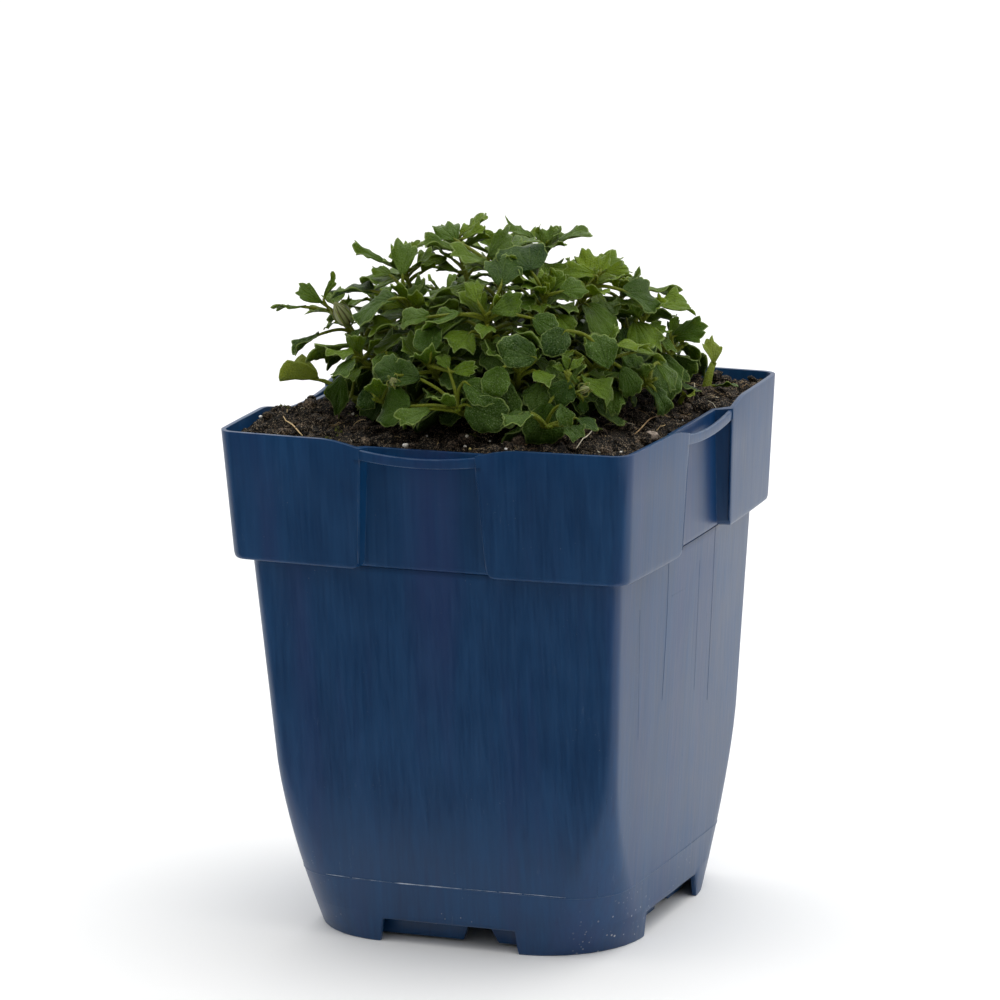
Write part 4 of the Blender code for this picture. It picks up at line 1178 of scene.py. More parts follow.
def petiolePoints(root, azimuth, rise, length):
    out = wayAt(azimuth)
    start = out * cos(rise) + upBy(sin(rise))
    bend = out * cos(rise * 0.6) + upBy(sin(rise * 0.6))
    middle = root + start * (length * 0.55)
    return [root, middle, middle + bend * (length * 0.45)]


def measured(bm):
    low, high = ([pick(vert.co[i] for vert in bm.verts) for i in range(3)] for pick in (min, max))
    return BVHTree.FromBMesh(bm), low, high


class Crowd:
    # Everything that already stands there, a little fattened, so that new leaves are kept clear of it.

    def __init__(self, trees=()):
        self.trees = list(trees)

    def add(self, bm, owner):
        self.trees.append((*measured(bm), owner))

    def meets(self, bm, spared=()):
        tree, low, high = measured(bm)
        for other, otherLow, otherHigh, owner in self.trees:
            if owner in spared or any(low[i] > otherHigh[i] or high[i] < otherLow[i] for i in range(3)):
                continue
            if tree.overlap(other):
                return True
        return False

    def takes(self, grown, index, blade, spared=(), stalkHalf=0.0):
        # Whether a leaf and its stalk stand clear of all others. If so, they join them.
        isFree = not self.meets(blade, spared)
        if isFree and stalkHalf:
            stalk = plainTube(grown["points"][::2], [stalkHalf] * 2, 4)
            isFree = not self.meets(stalk, {("stem", index), ("stalk", index)})
            if isFree:
                self.add(stalk, ("stalk", index))
            stalk.free()
        if isFree:
            self.add(blade, ("blade", index))
        return isFree


def standsFree(bm):
    # Clear of the soil, of the rim and within the plant's reach.
    for place in [vert.co for vert in bm.verts]:
        far = max(abs(place.x), abs(place.y))
        if far > plant["reach"] or place.z < soilHeight(place.x, place.y) + plant["soilClearance"]:
            return False
        if far > plant["insideRim"] and place.z < pot["height"] + plant["rimClearance"]:
            return False
    return True


def bladeTurn(base, azimuth, share, draw):
    away = hypot(base.x, base.y)
    out = atan2(base.y, base.x)
    off = (out - azimuth + pi) % (2 * pi) - pi
    turned = azimuth + off * blend(*stance["outward"], share) * min(1.0, away / stance["outwardFrom"])
    steep = pi / 2 - atan2(base.z - soil["level"], away)
    pitch = -steep * blend(*stance["drooping"], share) + radians(blend(*stance["raised"], share ** 3))
    return turned, pitch + radians(draw.uniform(*stance["pitch"]))


def growLeaf(shoot, k, count, tip, largest, draw, crowd):
    # One leaf of a shoot: tried at several turns until it stands clear of everything else.
    drawn = drawing(draw, stance)
    share = k / max(count - 1, 1)
    age = 1.0 - share
    outward = atan2(tip.y, tip.x)
    width = largest * mm * (stance["narrow"] + stance["wider"] * age ** 0.7) * drawn("sizeLoose")
    teeth = 7 if width > plant["sevenTeeth"] else 5
    turn = ((k * plant["golden"] + shoot + pi) % (2 * pi)) - pi
    length = (stance["stalkShort"] + stance["stalkLonger"] * age) * mm * drawn("stalkLoose")
    for attempt in range(plant["tries"]):
        loose = stance["loose"] + stance["looser"] * attempt
        azimuth = outward + turn * blend(*stance["around"], share) + draw.uniform(-loose, loose)
        rise = radians(blend(*stance["rise"], share) + drawn("riseLoose") * (1 + attempt / 20))
        roll = radians(drawn("roll"))
        along = 1.0 - 0.82 * age ** 1.5 + drawn("stemLoose")
        grown = dict(width=width * (1.0 if attempt < plant["smallerAfter"] else plant["smaller"]), teeth=teeth,
                     cup=drawn("cup"), fold=drawn("fold"), share=share)
        grown["points"] = petiolePoints(stemPoint(tip, max(0.05, min(0.985, along))), azimuth, rise, length)
        base = grown["points"][-1]
        grown["place"] = leafFrame(base, *bladeTurn(base, azimuth, share, draw), roll)
        blade = plainLeaf(grown, plant["bladeThick"] + 2 * plant["clearance"], plant["spread"])
        isFree = standsFree(blade) and crowd.takes(grown, shoot, blade, {("stem", shoot)} if share > 0.8 else (),
                                                   1.3 * plant["petioleHalf"] + plant["clearance"])
        blade.free()
        if isFree:
            return grown
    return None


def plantletPoints(start, end):
    first = Vector((start[0] * mm, start[1] * mm, soil["level"] - plant["sunk"]))
    bend = first + upBy(plant["upright"] - 0.8 * mm)
    finish = Vector(end) * mm
    middle = bend.lerp(finish, 0.5) + upBy(0.12 * (finish - bend).length)
    return [first, bend, middle, finish], [0.9 * mm, 0.9 * mm, 0.75 * mm, 0.6 * mm]


def plantletLeaf(end, row):
    turn, pitch, roll, width, fold = row
    azimuth = radians(turn)
    base = Vector(end) * mm + wayAt(azimuth) * 1.3 * mm + upBy(0.2 * mm)
    return dict(width=width * mm, teeth=5, cup=-0.1, fold=fold, broad=1.0,
                place=leafFrame(base, azimuth, radians(pitch), radians(roll)))


def budLine(bud):
    # The root and end of a bud's stalk, and the way that it points.
    index, share, tip = bud[1:4]
    root = stemPoint(Vector(shootPlan[index][0]) * mm, share)
    tip = Vector(tip) * mm
    return root, tip, (tip - root).normalized()


def growPlant(crowd):
    # All stems come first, then the leaves from the tips down, so that the outer ones get their room.
    shoots = []
    fat = plant["clearance"]
    for index, (place, count, largest) in enumerate(shootPlan):
        line = stemLine(Vector(place) * mm)
        radii = [blend(plant["stemFoot"], plant["stemTip"], max(t - 1, 0) / plant["spans"]) for t in range(len(line))]
        crowd.add(plainTube(line, [r + fat for r in radii], 6), ("stem", index))
        shoots.append(dict(tip=Vector(place) * mm, line=line, radii=radii, leaves=[], largest=largest * mm))
    for name, start, end, leaves in plantletPlan:
        points, radii = plantletPoints(start, end)
        crowd.add(plainTube(points, [radius + fat for radius in radii], 5), ("stem", name))
        for row in leaves:
            crowd.add(plainLeaf(plantletLeaf(end, row), plant["bladeThick"] + 2 * fat, plant["spread"]),
                      ("blade", name))
    for bud in budPlan:
        root, tip, along = budLine(bud)
        length, radius = (value * mm for value in bud[4:])
        stalk = [root, tip - along * (length + plant["budGap"])]
        points = [tip - along * length * (1.0 - place) for place, width in plant["budShape"]]
        crowd.add(plainTube(stalk, [plant["petioleHalf"] + fat] * 2, 5), ("bud", bud[0]))
        crowd.add(plainTube(points, [radius * width + fat for place, width in plant["budShape"]], 6), ("bud", bud[0]))
    draws = [random.Random(plant["seed"] + index) for index in range(len(shootPlan))]
    for rank in range(max(count for place, count, largest in shootPlan)):
        for index, (place, count, largest) in enumerate(shootPlan):
            k = count - 1 - rank
            if k >= 0:
                shoots[index]["leaves"].append(
                    growLeaf(index, k, count, shoots[index]["tip"], largest, draws[index], crowd))
    for shoot in shoots:
        shoot["leaves"] = [grown for grown in shoot["leaves"] if grown]
    return shoots


crowd = Crowd()
shoots = growPlant(crowd)
print("grown:", sum(len(shoot["leaves"]) for shoot in shoots), "leaves")


# Finer leaves, stalks and stems

leafKinds = dict(
    smooth=dict(teeth=3, span=110.0, notch=0.02, power=1.6, skew=0.1, base=0.80, long=1.0, tip=0.004, curve=0.30),
    old=dict(teeth=7, span=116.0, notch=0.060, power=2.0, skew=0.15, base=0.80, long=0.98, tip=0.020, curve=0.30),
    middle=dict(teeth=7, span=106.0, notch=0.100, power=1.7, skew=0.25, base=0.58, long=1.04, tip=0.020, curve=0.34),
    young=dict(teeth=5, span=90.0, notch=0.175, power=1.35, skew=0.30, base=0.34, long=1.12, tip=0.018, curve=0.40))

leaf = dict(perStep=3, sideRays=3, rings=5, thick=0.030, quilt=0.022, wave=0.060, pucker=0.020, rim=0.010,
            stalk=0.035, slack=0.6 * mm, bowl=(-0.45, 0.30), twist=(-0.28, 0.28), rising=0.12, soft=0.05,
            middleFrom=0.30, youngFrom=0.68, darkBelow=146.0 * mm, darkReach=20.0 * mm, petiole=0.50 * mm, seed=5200)


def marginPoint(kind, c):
    # A point of a blade's margin, where c counts the teeth from left to right, and how far it is from a tooth.
    teeth, span = kind["teeth"], kind["span"]
    off = 0.6
    if c < 0.0:
        angle = blend(-stance["back"], -span, 1.0 + c / 0.4)
    elif c > teeth:
        angle = blend(span, stance["back"], (c - teeth) / 0.4)
    else:
        angle = blend(-span, span, c / teeth)
        inTooth = (c % 1.0) * 2 - 1.0
        skew = kind["skew"] * (1 if c < teeth / 2 - 0.5 else -1 if c > teeth / 2 + 0.5 else 0)
        off = (skew - inTooth) / (1 + skew) if inTooth < skew else (inTooth - skew) / (1 - skew)
    angle = radians(angle)
    reach = 0.5 * (1.0 + 0.10 * cos(angle))
    if 0.0 < c < teeth:
        ease = min(1.0, 0.35 + min(c, teeth - c))       # the lowest teeth are shallow
        reach *= 1.0 - kind["notch"] * ease * (off ** kind["power"] - 0.25)
        reach += kind["tip"] * max(0.0, 1.0 - off * 3.5)
    x = reach * sin(angle)
    y = (stance["centre"] + reach * cos(angle)) * kind["long"]
    return x * blend(kind["base"], 1.0, min(1.0, max(0.0, y / 0.62)) ** 1.3), y, off


def leafMaster(kind):
    # A blade of width 1: rays from its joint that curve out to its margin, with a vein in every tooth.
    teeth, sides = kind["teeth"], leaf["sideRays"]
    columns = 2 * teeth * leaf["perStep"] + 2 * sides
    bpy.ops.mesh.primitive_grid_add(x_subdivisions=columns, y_subdivisions=leaf["rings"], size=2.0)
    item = bpy.context.object

    def toothCount(u):
        column = u * columns
        if column < sides:
            return -0.4 * (1.0 - column / sides)
        if column > columns - sides:
            return teeth + 0.4 * (1.0 - (columns - column) / sides)
        return (column - sides) / (2 * leaf["perStep"])

    uv = item.data.uv_layers.active
    uv.name = "UVMap"
    for loop in item.data.loops:
        u, v = uv.data[loop.index].uv
        uv.data[loop.index].uv = (toothCount(u) + 1.0, v)
    for vert in item.data.vertices:
        u = (vert.co.x + 1.0) / 2
        v = (vert.co.y + 1.0) / 2
        x, y, off = marginPoint(kind, toothCount(u))
        ray = v ** 0.9
        first, middle, last = (1 - ray) ** 2, 2 * ray * (1 - ray), ray ** 2
        start = blend(-leaf["stalk"], leaf["stalk"], u)
        panel = (max(off, 0.0) ** 0.6 - 0.6) * (1.0 + 0.4 * cos(13.0 * ray + 2.0 * int(toothCount(u))))
        relief = leaf["quilt"] * panel * 4 * ray * (1 - ray) - (leaf["rim"] if v > 0.97 else 0.0)
        vert.co = (first * start + middle * kind["curve"] * x + last * x, middle * 0.5 * y + last * y, relief)
    applyModifier(item, 'SOLIDIFY', thickness=leaf["thick"], offset=0.0)
    smooth(item)
    item.hide_render = True
    return item, pointsOf(item)


masters = {name: leafMaster(kind) for name, kind in leafKinds.items()}


def kindFor(share):
    return "young" if share > leaf["youngFrom"] else "middle" if share > leaf["middleFrom"] else "old"


def fineLeaf(grown, draw, share=None, kind=None):
    # A copy of a leaf with its own folds, waves and outline, moved to where it grows.
    share = grown["share"] if share is None else share
    width, place, soft = grown["width"], grown["place"], leaf["soft"]
    master, co = masters[kind or kindFor(share)]
    x, y, z = co.T
    young = max(0.0, (share - leaf["youngFrom"]) / (1.0 - leaf["youngFrom"]))
    away = np.hypot(x, y - stance["centre"]) * 2
    angle = np.arctan2(x, y - stance["centre"])
    phase = draw.uniform(0, 6.28)
    height = grown["fold"] * (np.sqrt(x * x + soft * soft) - soft)
    height = height + (grown["cup"] + leaf["rising"] * young) * np.maximum(0.0, y - 0.1) ** 2
    height = height + draw.uniform(*leaf["bowl"]) * x * x + draw.uniform(*leaf["twist"]) * x * y
    height = height + leaf["wave"] * np.sin(3 * angle + phase) * away ** 2
    height = height + 0.6 * leaf["wave"] * np.sin(6 * angle + 1.7 * phase) * away ** 4
    height = height + (leaf["pucker"] * np.sin(15.0 * x + phase) * np.sin(14.0 * y + 2.1 * phase)
                       * np.minimum(1.0, 3.0 * y))
    uneven = 1.0 + (0.035 * np.sin(2 * angle + 2.3 * phase) + 0.022 * np.sin(5 * angle + phase)) * away ** 2
    lean = draw.uniform(-0.10, 0.10)
    wide = draw.uniform(0.90, 1.04) * grown.get("broad", 1.0)
    x = x * uneven * wide + lean * y * y
    y = y * (1.0 + (uneven - 1.0) * away)
    moved = np.stack([x * width, y * width, (z + height) * width, np.ones_like(x)], axis=1) @ np.array(place).T
    item = copyOf(master)
    setPoints(item, moved[:, :3])
    # Painted shade: the lower a leaf stands on the mound, the darker and older-looking its tone.
    lit = min(1.0, max(0.0, (place.translation.z - leaf["darkBelow"]) / leaf["darkReach"]))
    setTone(item, share * blend(0.35, 1.0, lit), draw.random() * blend(0.4, 1.0, lit), 0.0)
    return item


def finePetiole(grown, draw):
    first, middle, base = grown["points"]
    into, far = (grown["place"] @ Vector((0.0, along * grown["width"], -deep * grown["width"]))
                 for along, deep in ((0.10, 0.010), (0.26, 0.012)))
    thick = leaf["petiole"] * draw.uniform(0.9, 1.15)
    points, radii = rounded([first, middle, base, into, far],
                            [thick * 1.15, thick, thick * 0.9, thick * 0.55, 0.1 * mm])
    return fineTube(points, radii, 6, grown["share"], draw.random(), 1.0)


def leafFinish(name, pale=0.0):
    # Blue-green old leaves and yellow-green young ones, with fan veins, speckles, pale margins and a painted sheen that
    # is strongest on the old leaves.
    finish = Finish(name, Specular_IOR_Level=0.12, Subsurface_Weight=0.12, Subsurface_Scale=0.8 * mm,
                    Subsurface_Radius=(1.0, 1.0, 0.25))
    between, grain, mix = finish.between, finish.grain, finish.mix
    place = finish.place()
    age, chance, kind = finish.tones()
    uv = finish.node('ShaderNodeUVMap', dict(uv_map="UVMap"))
    across, along = finish.split(uv, 'X'), finish.split(uv, 'Y')
    warp = grain(place, 350.0, 2.0, 0.5)
    off = (across.loose() - 0.5 + (warp - 0.5) * 0.10 * along).size()
    vein = between(off * (along + 0.12), 0.0, 0.048, 1.0, 0.0) * between(along, 0.96, 0.78)
    side = ((along * 6.0 - off * 4.2 + warp * 0.9).loose() - 0.5).size()
    sideVein = between(side, 0.0, 0.09, 1.0, 0.0) * between(off, 0.03, 0.2)
    cells = finish.cells(place, 1250.0, 'DISTANCE_TO_EDGE')
    net = between(cells, 0.0, 0.10, 1.0, 0.0)
    patch = grain(place, 150.0, 3.0, 0.6)
    young = between(age, 0.30, 0.95)
    # Painted sheen: a pale haze in patches, mostly on older leaves, stands in for their gloss.
    paintedSheen = (1.0 - young * 0.65) * between(grain(place, 75.0, 2.0, 0.5), 0.38, 0.62, 0.15, 1.0)
    speckle = between(finish.cells(place, 1750.0), 0.10, 0.34, 1.0, 0.0)
    sheenGrain = between(grain(place, 2300.0, 2.0, 0.6), 0.42, 0.62)
    blade = finish.over(mix(chance, (0.0070, 0.0315, 0.0003), (0.0520, 0.1100, 0.0014)),
                        (young, mix(chance, (0.054, 0.108, 0.0004), (0.142, 0.212, 0.0016))),
                        (between(patch, 0.40, 0.68) * 0.45, (0.038, 0.082, 0.0018)),
                        (between(patch, 0.44, 0.30) * 0.45, (0.004, 0.018, 0.0006)),
                        # pale speckles and painted sheen, within the sheen's patches
                        ((speckle * 0.60 + sheenGrain * 0.20) * paintedSheen, (0.215, 0.300, 0.130)),
                        (vein * 0.52 + sideVein * 0.15 + net * 0.05, (0.130, 0.190, 0.045)),
                        (between(along, 0.955, 0.985) * 0.80, (0.220, 0.300, 0.085)), (pale, (0.215, 0.265, 0.030)))
    streaks = grain(finish.stretched((1.0, 1.0, 0.2)), 500.0)
    stem = mix(streaks, (0.070, 0.100, 0.005), (0.190, 0.215, 0.022))
    relief = 0.5 * (1.0 - vein) + (1.0 - sideVein) * 0.3 + cells * 1.6 + sheenGrain * 0.3 + patch * 1.2
    finish.set(Base_Color=mix(kind, blade, stem), Roughness=between(patch + sheenGrain * 0.3, 0.3, 0.9, 0.22, 0.46),
               Normal=finish.bump(relief, 0.9, 0.26 * mm))
    return finish


green, youngGreen = leafFinish("leaf_green"), leafFinish("young_green", pale=0.72)


def budTip(place, along, draw, count, size):
    # A small cluster of unopened buds and scale leaves at the end of a shoot.
    items = []
    for i in range(count):
        lean = 0.15 + 0.55 * (i / max(count - 1, 1))
        way = (along + wayAt(i * plant["golden"]) * lean).normalized()
        length = size * draw.uniform(0.8, 1.2)
        points = [place + way * length * s for s in (-0.2, 0.25, 0.6, 0.85, 1.05)]
        radii = [size * r for r in (0.16, 0.30, 0.32, 0.20, 0.04)]
        items.append(fineTube(points, radii, 6, 1.0, draw.random(), 0.6))
    return items


# The leaves that show most from the front: where each joins its stalk and where it ends in the picture, its age
# from 0, old, to 100, its width as a percentage of its length, and its roll in degrees.
frontLeaves = [
    (537, 358, 499, 347, 10, 100, 0), (608, 369, 597, 333, 35, 95, -10), (621, 367, 640, 395, 45, 85, 10),
    (549, 403, 543, 447, 15, 95, 0), (411, 406, 377, 408, 12, 105, 0), (466, 404, 504, 425, 10, 100, 20),
    (462, 314, 424, 320, 35, 105, 35), (430, 317, 399, 320, 40, 90, 25), (479, 304, 469, 280, 75, 75, -15),
    (491, 312, 525, 302, 72, 85, 10), (501, 286, 506, 256, 40, 115, 0), (532, 272, 514, 244, 20, 125, 0),
    (457, 241, 439, 226, 90, 120, 0), (462, 239, 484, 229, 95, 60, 0), (459, 236, 475, 223, 95, 60, 0),
    (455, 250, 425, 243, 80, 50, 40), (487, 257, 513, 236, 70, 70, 30), (386, 263, 354, 247, 85, 70, 20),
    (402, 276, 409, 245, 90, 75, 0), (406, 259, 422, 240, 90, 45, 0), (398, 262, 396, 243, 95, 60, 0),
    (392, 276, 374, 270, 90, 75, 20), (322, 303, 296, 286, 90, 80, 0), (323, 300, 337, 273, 90, 45, 0),
    (306, 307, 273, 306, 85, 55, 30), (320, 334, 290, 353, 45, 65, 20), (394, 298, 352, 313, 20, 90, 20),
    (373, 291, 335, 287, 25, 80, 35), (597, 276, 568, 266, 80, 80, 10), (603, 272, 633, 268, 85, 50, 20),
    (600, 272, 607, 257, 95, 70, 0), (622, 290, 657, 306, 50, 95, 0), (672, 337, 705, 327, 85, 95, 0),
    (670, 335, 676, 313, 90, 70, 0), (657, 362, 680, 382, 55, 100, 0), (654, 388, 669, 411, 50, 70, 0),
    (503, 367, 489, 396, 15, 105, 0), (464, 381, 493, 401, 20, 90, -15), (567, 371, 565, 354, 90, 65, 0),
    (569, 371, 581, 358, 95, 60, 0), (570, 373, 580, 383, 90, 60, 0), (565, 372, 554, 364, 90, 70, 0),
    (569, 380, 557, 403, 45, 120, 0), (583, 399, 583, 413, 50, 95, 0), (452, 372, 474, 366, 70, 90, 0),
    (421, 379, 389, 370, 60, 80, 0), (399, 376, 377, 360, 25, 100, 0), (431, 353, 424, 327, 20, 110, 0),
    (365, 389, 366, 410, 20, 100, 0), (346, 370, 329, 417, 40, 50, 0), (449, 370, 440, 352, 80, 80, 0),
    (532, 318, 559, 330, 20, 90, 0), (566, 330, 548, 352, 15, 100, 0), (560, 292, 585, 283, 40, 80, 20),
]

# No leaf stands in front of the left corner or the seedling: each place's left and right edge and top in the picture.
bareSoil = [(0, 302, 340), (0, 325, 372), (688, 1000, 343)]

# Shoots whose tip would stand bare over the left corner: how many points and what share of their stem stay, and the
# pixel from which their leaves may stand.
shortStems = {29: (12, 0.45, 350)}

mound = dict(middle=upBy(138.0 * mm), wide=50.0 * mm, high=54.0 * mm, lean=0.7, nearest=3.0 * mm)


def shownMiddle(grown):
    return shownAt(grown["place"] @ Vector((0.0, 0.5 * grown["width"], 0.0)))


def isBare(grown):
    x, y, depth = shownMiddle(grown)
    return any(left < x < right and y > top for left, right, top in bareSoil)


def onMound(pixelX, pixelY):
    # Where the camera's ray meets the mound's rounded surface, or comes nearest to it.
    ray = rayAt(pixelX, pixelY)
    scale = Vector((1 / mound["wide"], 1 / mound["wide"], 1 / mound["high"]))
    start = (eye - mound["middle"]) * scale
    way = ray * scale
    a, b, c = way.dot(way), 2 * start.dot(way), start.dot(start) - 1.0
    return eye + ray * ((-b - sqrt(max(b * b - 4 * a * c, 0.0))) / (2 * a))


def stemFor(base, way):
    # The shoot, and the point of its stem, that a front leaf's stalk can best come from.
    choices = []
    for index, shoot in enumerate(shoots):
        highest = shortStems[index][1] if index in shortStems else 1.0
        for step in range(4, 49):
            point = stemPoint(shoot["tip"], step / 50)
            reach = base - point
            if reach.length >= mound["nearest"] and step / 50 <= highest:
                cost = reach.length * (1.5 - 0.5 * reach.normalized().dot(way)) + 1.5 * max(0.0, point.z - base.z)
                choices.append((cost, index, step, point))
    return min(choices)[1::2]


def frontLeaf(row, draw):
    base, tip = onMound(*row[:2]), onMound(*row[2:4])
    share, roll = row[4] / 100, radians(row[6])
    along = tip - base
    deep = along.dot(toEye)
    flat = along - toEye * deep
    limit = mound["lean"] * flat.length
    along = flat + toEye * max(-limit, min(limit, deep))
    middle = (base + tip) / 2 - mound["middle"]
    out = Vector((middle.x / mound["wide"] ** 2, middle.y / mound["wide"] ** 2, middle.z / mound["high"] ** 2))
    way = along.normalized()
    face = out.normalized() * 0.55 + upBy(0.25) + toEye * 0.45
    face = (face - way * face.dot(way)).normalized()
    place = Matrix((way.cross(face), way, face)).transposed().to_4x4()
    place.translation = base
    index, root = stemFor(base, way)
    reach = (base - root).length
    bend = root.lerp(base, 0.5) - way * 0.14 * reach + upBy(0.08 * reach)
    return dict(width=along.length / (1.02 * leafKinds[kindFor(share)]["long"]), teeth=5,
                cup=draw.uniform(-0.30, -0.02), fold=draw.uniform(0.06, 0.30),
                place=place @ Matrix.Rotation(roll, 4, 'Y'), points=[root, bend, base], share=share,
                broad=row[5] / 100, index=index)


def hidesFront(grown, front):
    # Whether a leaf would hide the middle of a front leaf from the camera.
    x, y, depth = shownMiddle(grown)
    for other in front:
        otherX, otherY, otherDepth = shownMiddle(other)
        radius = 0.5 * view["focal"] / otherDepth * (0.62 * other["width"] * min(1.0, other["broad"] + 0.1)
                                                     + 0.62 * grown["width"])
        if depth < otherDepth and hypot(x - otherX, y - otherY) < radius:
            return True
    return False


def settleFront():
    # The front leaves take their places, and the leaves that they would cut or stand behind make way.
    draw = random.Random(leaf["seed"])
    front = [frontLeaf(row, draw) for row in frontLeaves]
    fresh = Crowd(row for row in crowd.trees if row[3][0] in ("stem", "bud") or isinstance(row[3][1], str))
    ahead = Crowd()
    for grown in front:
        blade = plainLeaf(grown)
        ahead.add(blade, ("front", grown["index"]))
        blade.free()
    for index, shoot in enumerate(shoots):
        kept = []
        for grown in shoot["leaves"]:
            blade = plainLeaf(grown)
            isCut = index in shortStems and shownAt(grown["points"][0])[0] < shortStems[index][2]
            if not (isCut or ahead.meets(blade) or hidesFront(grown, front) or isBare(grown)):
                kept.append(grown)
                fresh.add(blade, ("blade", index))
            blade.free()
        shoot["leaves"] = kept
    fresh.trees += ahead.trees
    return front, fresh


front, crowd = settleFront()
print("front leaves:", len(front), "others kept:", sum(len(shoot["leaves"]) for shoot in shoots))


# Where new leaves may come: about a tip, and smaller ones along the stems.
rosette = dict(count=10, tries=14, size=0.60, smaller=0.042, around=(-0.5, 0.5), rise=58.0, steeper=3.5,
               riseLoose=(-12.0, 12.0), below=3.0, higher=0.3, stalk=2.2, shorter=0.2, stalkLoose=(0.9, 1.4),
               pitch=24.0, raised=6.0, pitchLoose=(-14.0, 14.0), roll=(-22.0, 22.0), cup=(-0.35, 0.15),
               fold=(0.15, 0.55), youngFrom=0.85)
filling = dict(count=9, tries=45, share=(0.15, 0.95), size=(0.30, 0.70), stalkHalf=0.5 * mm, rise=(10.0, 62.0),
               onStem=(0.12, 0.97), stemLoose=(-0.1, 0.1), stalk=(2.5, 11.0), roll=(-20.0, 20.0),
               cup=(-0.40, 0.10), fold=(0.05, 0.40))


def firstFree(index, draw, tries, tried, spared=(), stalkHalf=0.0, isYoung=False):
    # The first of several tries that keeps within the solids' outline, hides nothing and stands clear.
    for time in range(tries):
        grown = tried()
        blade = plainLeaf(grown)
        isFree = (all(vert.co.z <= cadHigh.z + leaf["slack"] for vert in blade.verts) and standsFree(blade)
                  and not isBare(grown) and not hidesFront(grown, front)
                  and crowd.takes(grown, index, blade, spared, stalkHalf))
        blade.free()
        if isFree:
            share = rosette["youngFrom"] + 0.15 * draw.random() if isYoung else None
            return [fineLeaf(grown, draw, share), finePetiole(grown, draw)]
    return []


def rosetteLeaf(index, shoot, draw, i):
    # A small young leaf that stands about the tip, where there is room for it.
    form, drawn = rosette, drawing(draw, rosette)
    size = shoot["largest"] * (form["size"] - form["smaller"] * i)

    def tried():
        azimuth = index + i * plant["golden"] + drawn("around")
        rise = radians(form["rise"] + form["steeper"] * i + drawn("riseLoose"))
        root = shoot["tip"] - shoot["up"] * (form["below"] - form["higher"] * i) * mm
        length = (form["stalk"] - form["shorter"] * i) * mm * drawn("stalkLoose")
        points = petiolePoints(root, azimuth, rise, length)
        pitch = radians(form["pitch"] + form["raised"] * i + drawn("pitchLoose"))
        place = leafFrame(points[-1], azimuth, pitch, radians(drawn("roll")))
        return dict(width=size, teeth=5, cup=drawn("cup"), fold=drawn("fold"), place=place, points=points, share=1.0)

    return firstFree(index, draw, rosette["tries"], tried, {("stem", index), ("stalk", index)}, isYoung=True)


def fillingLeaf(index, shoot, draw):
    # A smaller leaf along the stem, wherever the mound still has room.
    tip, drawn = shoot["tip"], drawing(draw, filling)
    share = drawn("share")
    size = shoot["largest"] * drawn("size")

    def tried():
        azimuth = atan2(tip.y, tip.x) + draw.uniform(-pi, pi)
        rise = radians(drawn("rise"))
        along = max(0.05, min(0.98, blend(*filling["onStem"], share) + drawn("stemLoose")))
        root = stemPoint(tip, along * shortStems[index][1] if index in shortStems else along)
        points = petiolePoints(root, azimuth, rise, drawn("stalk") * mm)
        place = leafFrame(points[-1], *bladeTurn(points[-1], azimuth, share, draw), radians(drawn("roll")))
        return dict(width=size, teeth=5, cup=drawn("cup"), fold=drawn("fold"), place=place, points=points, share=share)

    return firstFree(index, draw, filling["tries"], tried, stalkHalf=filling["stalkHalf"])


# The cluster at a tip: its number of buds and their size. One shoot has a richer one.
clusters = {1: dict(count=11, size=1.9 * mm)}
plainCluster = dict(count=4, size=1.5 * mm)


def makeShoot(index, shoot):
    draw = random.Random(leaf["seed"] + index)
    points, radii = rounded(shoot["line"], shoot["radii"])
    shoot["up"] = (shoot["line"][-1] - shoot["line"][-2]).normalized()
    isShort = index in shortStems
    if isShort:
        points, radii = points[:shortStems[index][0]], radii[:shortStems[index][0]]
    items = [fineTube(points, radii, 8, 0.5, draw.random(), 1.0)]
    for grown in shoot["leaves"] + [grown for grown in front if grown["index"] == index]:
        items += [fineLeaf(grown, draw), finePetiole(grown, draw)]
    for i in range(0 if isShort else rosette["count"]):
        items += rosetteLeaf(index, shoot, draw, i)
    for time in range(filling["count"]):
        items += fillingLeaf(index, shoot, draw)
    if not isShort:
        items += budTip(shoot["tip"], shoot["up"], draw, **clusters.get(index, plainCluster))
    for bud in budPlan:
        if bud[1] == index:
            root, tip, along = budLine(bud)
            end = tip - along * (bud[4] * mm)
            items.append(fineTube([root, root.lerp(end, 0.5), end], [0.5 * mm, 0.42 * mm, 0.5 * mm], 6, 0.8,
                                  draw.random(), 1.0))
    piece = joinPieces("leafy_shoot_%02d" % (index + 1), items)
    paint(piece, green)
    dress(piece, "leaf_green", "shoot_%02d" % (index + 1))


# How the fine leaves of two plantlets differ from the solids': turn, pitch and roll in degrees, size and form.
# The young leaf is folded along its middle, edges up. The seedling's first leaf stands upright and shows its face,
# and its stalk leans. Its second leaf lies low beside it.
pouch = dict(turn=186.0, pitch=2.0, roll=10.0, form=dict(width=10.6 * mm, fold=1.25, broad=0.56, cup=-0.18, share=1.0))
upright = dict(turn=124.0, pitch=52.0, roll=6.0, form=dict(width=6.6 * mm, fold=0.25, share=0.9),
               thick=1.6, lean=Vector((0.0, -7.0 * mm, -0.6 * mm)))
lowLeaf = dict(turn=14.0, pitch=6.0, roll=-20.0, form=dict(broad=0.7, share=0.2), onStalk=0.45, away=2.2 * mm)


